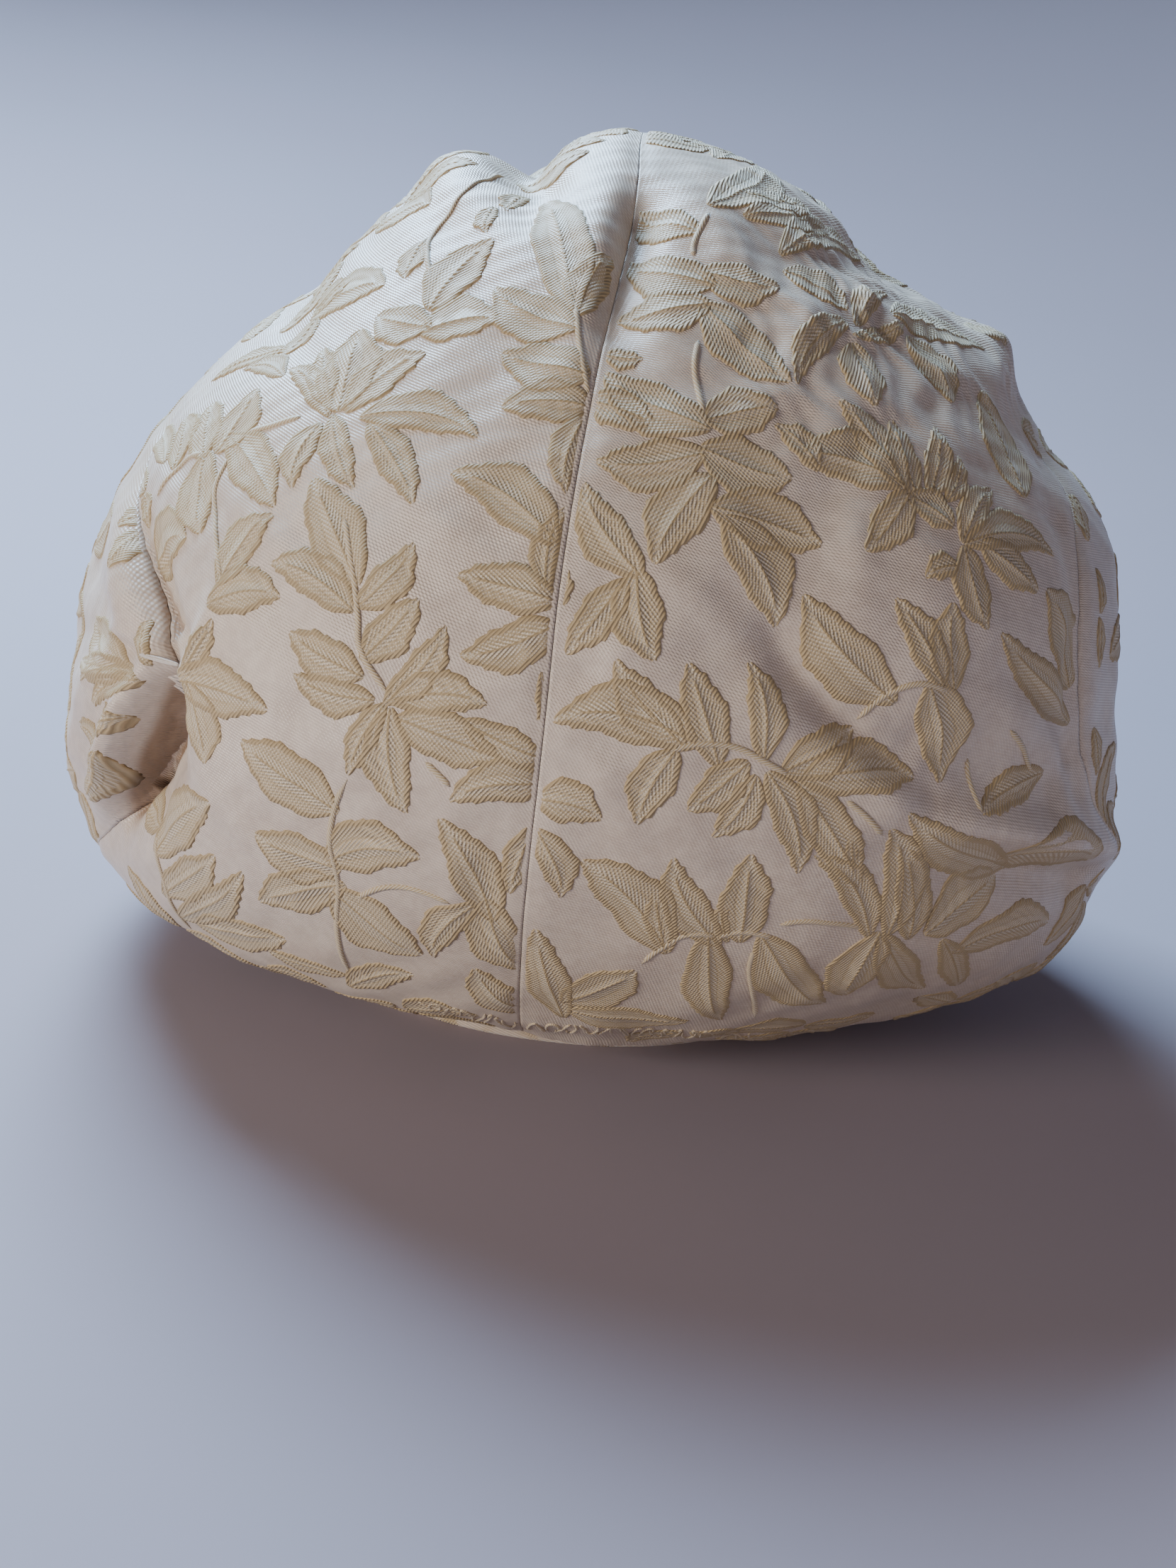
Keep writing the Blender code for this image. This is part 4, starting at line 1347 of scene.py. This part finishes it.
def laid_on_panel(chart, height, panel):
    """Places and heights of leaf points, kept inside a panel's seams and rim."""
    first_seam, last_seam, turn, _ = list(PANELS.values())[panel]
    azimuth, level = from_chart(chart)
    azimuth = azimuth % 360 if turn else azimuth
    from_rim = level * RIM_LEVEL_MM
    level = np.minimum(held_inside(from_rim) / RIM_LEVEL_MM, POLE_LEVEL)
    reach = np.maximum(form_reach(azimuth, level), 2.0)
    seams = through_rows(SEAM_ROWS, level)
    first, last = seams[..., first_seam], seams[..., last_seam] + turn
    per_degree = np.radians(1) * reach
    from_first = (azimuth - first) * per_degree
    from_last = (last - azimuth) * per_degree
    azimuth = np.where(from_first < from_last,
                       first + held_inside(from_first) / per_degree,
                       last - held_inside(from_last) / per_degree)
    nearest = np.minimum(np.minimum(from_first, from_last), from_rim)
    fade = np.clip((nearest - SUNK_WITHIN) / SUNK_OVER, 0, 1)
    return azimuth, level, height * fade + UNDERSIDE * (1 - fade)


leaf_azimuth, leaf_level = from_chart((leaf_base + leaf_tip) / 2)
leaf_panels = panel_of(leaf_azimuth, leaf_level)
print("leaves on the left, right and front panel:", np.bincount(leaf_panels).tolist())

# %% [markdown]
# Each row of a leaf is a ring: across the top from the right edge over the midrib to the left edge,
# and back underneath, inside the cloth. Rings from base to tip, and a point at each end, close the
# cushion. All leaves of a panel are worked out at once as one array of leaves, rows and ring points.

# %% Leaf cushions
LEAF_ROWS = 40
UNSEEN_LEAF_ROWS = 20
EDGE_CODES = np.array([1.0, 0.93, 0.84, 0.7])
EDGE_HEIGHTS = np.array([-0.3, 0.24, 0.5, 0.34])
INSIDE_CODES = np.array([0.42, 0.11, 0.0])
INSIDE_HEIGHTS = np.array([0.3, 0.16, 0.58])
UNDER_SHARES = np.array([0.6, 0.0, -0.6])
END_HEIGHT = -0.3
FULLER_SIDE = 0.14
THIN_UNDER = 5.0
THINNEST = 0.35
MIDRIB_END = 0.8
MIDRIB_FALL = 12
PHASE_STEP = 2.399963
BOW = 0.26


def leaf_rings(share, length, width, phase, lean):
    """Distances off the midrib in mm, edge codes and heights in mm, ring by ring."""
    codes = np.concatenate([EDGE_CODES, INSIDE_CODES])
    heights = np.concatenate([EDGE_HEIGHTS, INSIDE_HEIGHTS])
    right, left = [
        leaf_half_width(share, length, width, phase + sign) * (1 + FULLER_SIDE * sign * lean)
        for sign in (-1, 1)
    ]
    over_right = -side_shares(right) * right[..., None]
    over_left = (side_shares(left) * left[..., None])[..., -2::-1]
    under = UNDER_SHARES * ((right + left) / 2)[..., None]
    code = np.concatenate([-codes, codes[-2::-1], UNDER_SHARES])
    height = np.concatenate([heights, heights[-2::-1], np.full(len(UNDER_SHARES), UNDERSIDE)])
    thin = np.clip((right + left) / THIN_UNDER, THINNEST, 1)[..., None]
    height = np.where(height > 0, height * thin, height)
    midrib_end = np.clip((share - MIDRIB_END) * MIDRIB_FALL, 0, 1)
    height[..., len(codes) - 1] += midrib_end * (INSIDE_HEIGHTS[1] - INSIDE_HEIGHTS[2])
    return np.concatenate([over_right, over_left, under], -1), code, height


def with_ends(values, base, tip):
    """Values of each leaf's rings in one run, followed by those of its base and its tip."""
    count, size = len(values), values.shape[-1]
    ends = [np.broadcast_to(end, (count, 1, size)) for end in (base, tip)]
    return np.concatenate([values.reshape(count, -1, size), *ends], 1)


def cushion_faces(row_count, sides, count):
    """Faces of many cushions: quads from ring to ring, and triangles to each base and tip."""
    numbers = ring_numbers(row_count, sides)
    base = np.full(sides, row_count * sides)
    caps = np.vstack([
        np.stack([base, numbers[0, :-1], numbers[0, 1:]], -1),
        np.stack([numbers[-1, :-1], base + 1, numbers[-1, 1:]], -1),
    ])
    starts = (np.arange(count) * (row_count * sides + 2))[:, None, None]
    return (grid_faces(numbers.T) + starts).reshape(-1, 4).tolist() + (caps + starts).reshape(-1, 3).tolist()


def leaf_piece(name, panel, row_count, base, tip, width):
    """All the leaves of one panel as closed cushions in one piece, bowed by s - s^3 of their length."""
    count = len(base)
    axis = tip - base
    metric = chart_metric((base + tip) / 2)
    length = cloth_length(axis, metric)
    across = square_to(axis, metric)
    phase = (np.arange(count) * PHASE_STEP) % TAU
    share = np.linspace(0, 1, row_count + 2)[1:-1]
    lean = np.sin(phase * 3)[:, None]
    off, code, height = leaf_rings(share, length[:, None], width[:, None], phase[:, None], lean)
    bow = BOW * lean * length[:, None] * (share - share ** 3)
    spine = base[:, None] + share[:, None] * axis[:, None] + bow[..., None] * across[:, None]
    chart = spine[:, :, None] + off[..., None] * across[:, None, None]
    chart = with_ends(chart, base[:, None], tip[:, None])
    height = with_ends(height[..., None], END_HEIGHT, END_HEIGHT)[..., 0]
    azimuth, level, lift = laid_on_panel(chart, height, panel)
    run = share[:, None] * length[:, None, None]
    code = np.stack(np.broadcast_arrays(share[:, None], code, off)[:2], -1)
    tip_vein = np.stack([length, 0 * length], -1)[:, None]
    maps = {
        "cloth": cloth_map(azimuth, level, panel_middle(*list(PANELS.values())[panel][:3])),
        "code": with_ends(code, (0.0, 1.0), (1.0, 1.0)),
        "vein": with_ends(np.stack(np.broadcast_arrays(run, off), -1), 0.0, tip_vein),
        "fold": fold_map(azimuth, level),
    }
    maps = {layer: values.reshape(-1, 2) for layer, values in maps.items()}
    faces = cushion_faces(row_count, off.shape[-1], count)
    piece = make_piece(name, cloth_at(azimuth, level, lift).reshape(-1, 3), faces, maps, LEAF)
    return piece


on_right_half = leaf_azimuth % 360 < 180
LEAF_PIECES = [
    # piece, panel, rows along a leaf, which leaves
    ("back_left_leaves", 0, LEAF_ROWS, leaf_panels == 0),
    ("back_right_leaves", 1, LEAF_ROWS, leaf_panels == 1),
    ("front_right_leaves", 2, UNSEEN_LEAF_ROWS, (leaf_panels == 2) & on_right_half),
    ("front_left_leaves", 2, UNSEEN_LEAF_ROWS, (leaf_panels == 2) & ~on_right_half),
]
for name, panel, row_count, here in LEAF_PIECES:
    leaf_piece(name, panel, row_count, leaf_base[here], leaf_tip[here], leaf_width[here])

# %% [markdown]
# ## Stems
#
# A stem is a thin raised cord, half sunk in the cloth. Its run of picture points becomes a smooth
# curve in the chart, and a six-sided ring follows it. A curve object with a bevel would look alike,
# but rings of points can also say how far along the cord they are, for the turns of its thread.

# %% Stem cords
STEM_HALF_WIDTH = 0.95
STEM_RISE = 0.55
STEM_SIDES = 6
STEM_STEP = 1.1
CORD_LIFT = 0.05
END_TAPER = 4
END_LEAST = 0.15


def smooth_run(points, count):
    """Points evenly shared along a Catmull-Rom curve through a short run of points."""
    rows = np.vstack([2 * points[0] - points[1], points, 2 * points[-1] - points[-2]])
    return through_rows(rows, np.linspace(0, len(points) - 1, count))


def cord_piece(name, charts, half_width, rise, material):
    """Flat-bottomed cords of six sides along runs of chart points, all in one piece."""
    points = []
    veins = []
    faces = []
    total = 0
    for chart in charts:
        rough = smooth_form(*from_chart(chart))
        length = np.linalg.norm(np.diff(rough, axis=0), axis=-1).sum()
        count = max(int(length / STEM_STEP), 4)
        chart = smooth_run(chart, count)
        panel = int(panel_of(*from_chart(chart.mean(0, keepdims=True)))[0])
        azimuth, level, lift = laid_on_panel(chart, np.full(count, CORD_LIFT), panel)
        centre = cloth_at(azimuth, level, lift)
        upward = outward(smooth_form, azimuth, level)
        side = unit(np.cross(unit(np.gradient(centre, axis=0)), upward))
        angle = np.arange(STEM_SIDES) * TAU / STEM_SIDES
        swell = np.clip(np.sin(np.linspace(0, np.pi, count)) * END_TAPER, END_LEAST, 1)
        high = rise * np.cos(angle)
        out = half_width * np.sin(angle)
        ring = high[:, None] * upward[:, None] + out[:, None] * side[:, None]
        tube = centre[:, None] + swell[:, None, None] * ring
        faces += tube_faces(ring_numbers(count, STEM_SIDES, total))
        points.append(tube.reshape(-1, 3))
        along = np.linspace(0, length, count)[:, None] * np.ones(STEM_SIDES)
        veins.append(np.stack([along, np.broadcast_to(out, along.shape)], -1).reshape(-1, 2))
        total += count * STEM_SIDES
    piece = make_piece(name, np.vstack(points), faces, {"vein": np.vstack(veins)}, material)
    return piece


stem_ends = np.cumsum([len(run) for run in STEMS_SEEN])[:-1]
stem_charts = np.split(chart_under(np.vstack(STEMS_SEEN)), stem_ends)
cord_piece("leaf_stems", stem_charts, STEM_HALF_WIDTH, STEM_RISE, STEM)

# %% [markdown]
# The raw hem shows at the middle of the back as short frayed threads that curl over the rim. Each
# wanders along the rim by a wave of its own, a few mm above the edge.

# %% Frayed hem threads
HEM_SEEN = [
    # across, down
    (600, 1417),
    (740, 1448),
    (1060, 1462),
]
FRAYED_COUNT = 32
FRAYED_REACH = 9.0
FRAYED_CURL = 5.0
FRAYED_POINTS = 6
FRAYED_HALF_WIDTH = 0.42
FRAYED_RISE = 0.5
FRAYED_PHASE = 2.4


def frayed_charts():
    """Short wandering runs of chart points along the hem, no two alike."""
    share = np.linspace(-1, 1, FRAYED_POINTS)
    hem_across, hem_down = np.array(HEM_SEEN).T
    seen = []
    for number, middle in enumerate(np.linspace(hem_across[0], hem_across[-1], FRAYED_COUNT)):
        phase = FRAYED_PHASE * number
        across = middle + FRAYED_REACH * (share * math.cos(phase) + 0.5 * np.sin(3.1 * share + phase))
        down = np.interp(middle, hem_across, hem_down) + FRAYED_CURL * np.sin(2.3 * share + 1.7 * phase)
        seen.append(np.stack([across, down], -1))
    return np.split(chart_under(np.vstack(seen)), FRAYED_COUNT)


cord_piece("hem_threads", frayed_charts(), FRAYED_HALF_WIDTH, FRAYED_RISE, STEM)

# %% [markdown]
# ## Head band
#
# The band is an upright ring just inside the rim, and the hat rests on its lower edge. Each
# cross-section is a thin upright bar with blunted corners. The rim isn't a circle, so the ring is
# worked out from the rim, and not scaled from a round one.

# %% The head band
BAND_SIDES = 168
BAND_BULGE = 0.35
BAND_CORNER = 1.2


def head_band():
    """A ring of cloth whose section has eight points, drawn in a little at its four corners."""
    azimuth = np.linspace(-180, 180, BAND_SIDES, endpoint=False)
    rim = smooth_form(azimuth, 0.0)[:, :2]
    reach = np.linalg.norm(rim, axis=-1, keepdims=True)
    section = [
        # distance in from the rim, height
        (BAND_GAP + BAND_BULGE, 0.0),
        (BAND_GAP, BAND_CORNER),
        (BAND_GAP, BAND_HEIGHT - BAND_CORNER),
        (BAND_GAP + BAND_BULGE, BAND_HEIGHT),
        (BAND_GAP + BAND_THICK - BAND_BULGE, BAND_HEIGHT),
        (BAND_GAP + BAND_THICK, BAND_HEIGHT - BAND_CORNER),
        (BAND_GAP + BAND_THICK, BAND_CORNER),
        (BAND_GAP + BAND_THICK - BAND_BULGE, 0.0),
    ]
    inwards, up = np.array(section).T[:, :, None]
    rings = rim * (1 - inwards[..., None] / reach)
    points = np.concatenate([rings, np.broadcast_to(up[..., None], (*rings.shape[:2], 1))], -1)
    numbers = ring_numbers(len(section), BAND_SIDES)
    faces = grid_faces(np.vstack([numbers, numbers[:1]])).tolist()
    around = np.radians(azimuth) * reach.mean()
    cloth = np.stack(np.broadcast_arrays(around, up), -1)
    maps = {"cloth": cloth.reshape(-1, 2)}
    piece = make_piece("head_band_cloth", points.reshape(-1, 3), faces, maps, BAND)
    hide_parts("head_band")
    return piece


head_band()

# %% [markdown]
# ## The tack
#
# Five strands of pale thread bridge the left side seam side by side, each a slim cord that starts and
# ends just above the cloth. They are modelled and not painted, because they lie clear of the cloth
# and cast small shadows on it.

# %% Strands of the tack
STRANDS = [
    # sideways mm, lift mm, radius mm
    (-0.55, 0.1, 0.32),
    (0.0, 0.3, 0.34),
    (0.5, 0.05, 0.32),
    (-0.2, -0.35, 0.32),
    (0.3, -0.3, 0.30),
]
STRAND_POINTS = 22
STRAND_SIDES = 8
STRAND_GATHER = 0.6
STRAND_TAPER = 6
STRAND_LEAST = 0.25


def tack():
    """Cords between two points of cloth on either side of the seam, bowed by a sine of their share."""
    azimuth, level = TACK_AT
    half_turn = math.degrees(TACK_HALF_LENGTH / form_reach(azimuth, level))
    ends = np.array([azimuth - half_turn, azimuth + half_turn])
    start, end = cloth_at(ends, level) + TACK_LIFT * outward(cloth_at, ends, np.full(2, level))
    axis = (end - start) / np.linalg.norm(end - start)
    side = np.cross(axis, [0, 0, 1])
    side /= np.linalg.norm(side)
    rise = np.cross(axis, side)
    share = np.linspace(0, 1, STRAND_POINTS)
    angle = np.arange(STRAND_SIDES) * TAU / STRAND_SIDES
    circle = np.cos(angle)[:, None] * side + np.sin(angle)[:, None] * rise
    points = []
    faces = []
    for number, (sideways, lift, radius) in enumerate(STRANDS):
        gather = np.sin(np.pi * share) * STRAND_GATHER + 1 - STRAND_GATHER
        centre = start + share[:, None] * (end - start)
        centre = centre + (gather * sideways)[:, None] * rise + (gather * lift)[:, None] * side
        swell = radius * np.clip(np.sin(np.pi * share) * STRAND_TAPER, STRAND_LEAST, 1)
        points.append((centre[:, None] + swell[:, None, None] * circle).reshape(-1, 3))
        numbers = ring_numbers(STRAND_POINTS, STRAND_SIDES, number * STRAND_POINTS * STRAND_SIDES)
        faces += tube_faces(numbers[:, ::-1])
    piece = make_piece("side_tack_thread", np.vstack(points), faces, {}, THREAD)
    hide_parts("side_tack")
    return piece


tack()

# %% [markdown]
# ## Stage
#
# The hat stands on a plain pale floor that curves up into a backdrop all round. A cool soft light high
# behind it brightens the crown, a warmer one low on the left gives the folds their shade, a weak one
# fills from the right, and a fourth close to the floor stands in for light thrown up under the hat.

# %% Floor, backdrop and light
FLOOR_COLOUR = colour(0.29, 0.24, 0.262)
FLAT_RADIUS = 0.6
BEND_RADIUS = 1.7
WALL_TOP = 4.5
SWEEP_SIDES = 64
SURROUND_COLOUR = colour(0.95, 0.88, 0.84)
SURROUND_STRENGTH = 0.10
LIGHTS = [
    # name, place m, size m, watts, colour
    ("high light", (-0.65, 0.80, 1.35), 0.90, 120.0, (0.46, 0.70, 1.0)),
    ("low light", (-0.98, -0.92, 0.40), 0.40, 15.8, (1.0, 0.94, 0.86)),
    ("warm fill", (0.60, -0.95, 0.35), 0.50, 0.9, (1.0, 0.74, 0.48)),
    ("low glow", (0.24, -0.34, 0.02), 0.20, 0.11, (1.0, 0.86, 0.76)),
]


def sweep():
    """A round floor that turns up into a backdrop all round by a quarter circle, far from the hat."""
    angle = np.linspace(0, np.pi / 2, 13)
    radius = FLAT_RADIUS + BEND_RADIUS * np.append(np.sin(angle), 1.0)
    height = np.append(BEND_RADIUS * (1 - np.cos(angle)), WALL_TOP)
    around = np.arange(SWEEP_SIDES) * TAU / SWEEP_SIDES
    radius, height = radius[:, None], height[:, None]
    rings = np.broadcast_arrays(radius * np.cos(around), radius * np.sin(around), height)
    points = np.stack(rings, -1)
    numbers = ring_numbers(len(points), SWEEP_SIDES)
    faces = grid_faces(numbers)[:, ::-1].tolist() + [numbers[0, :-1].tolist()]
    mesh = bpy.data.meshes.new("floor")
    mesh.from_pydata(points.reshape(-1, 3).tolist(), [], faces)
    mesh.polygons.foreach_set("use_smooth", np.full(len(mesh.polygons), True))
    floor = in_scene("floor", mesh)
    recipe = Recipe("floor_pale")
    mesh.materials.append(recipe.finish({"Base Color": FLOOR_COLOUR, "Roughness": 0.8}))
    return floor


def add_light(name, place, size, watts, tint):
    """A square light that faces the middle of the hat."""
    data = bpy.data.lights.new(name, "AREA")
    data.size = size
    data.energy = watts
    data.color = tint
    light = in_scene(name, data)
    back, up, _ = frame_of(np.array(place) - AIM_AT * MM, np.array([0.0, 0.0, 1.0])).T
    turned = np.stack([np.cross(up, back), up, back], 1)
    light.matrix_world = blender_matrix(turned)
    light.location = place
    light.visible_camera = False


sweep()
for row in LIGHTS:
    add_light(*row)
world = bpy.data.worlds.new("surroundings")
world.use_nodes = True
surround = world.node_tree.nodes["Background"].inputs
surround["Color"].default_value = SURROUND_COLOUR
surround["Strength"].default_value = SURROUND_STRENGTH
bpy.context.scene.world = world
print("lights:", len(LIGHTS))
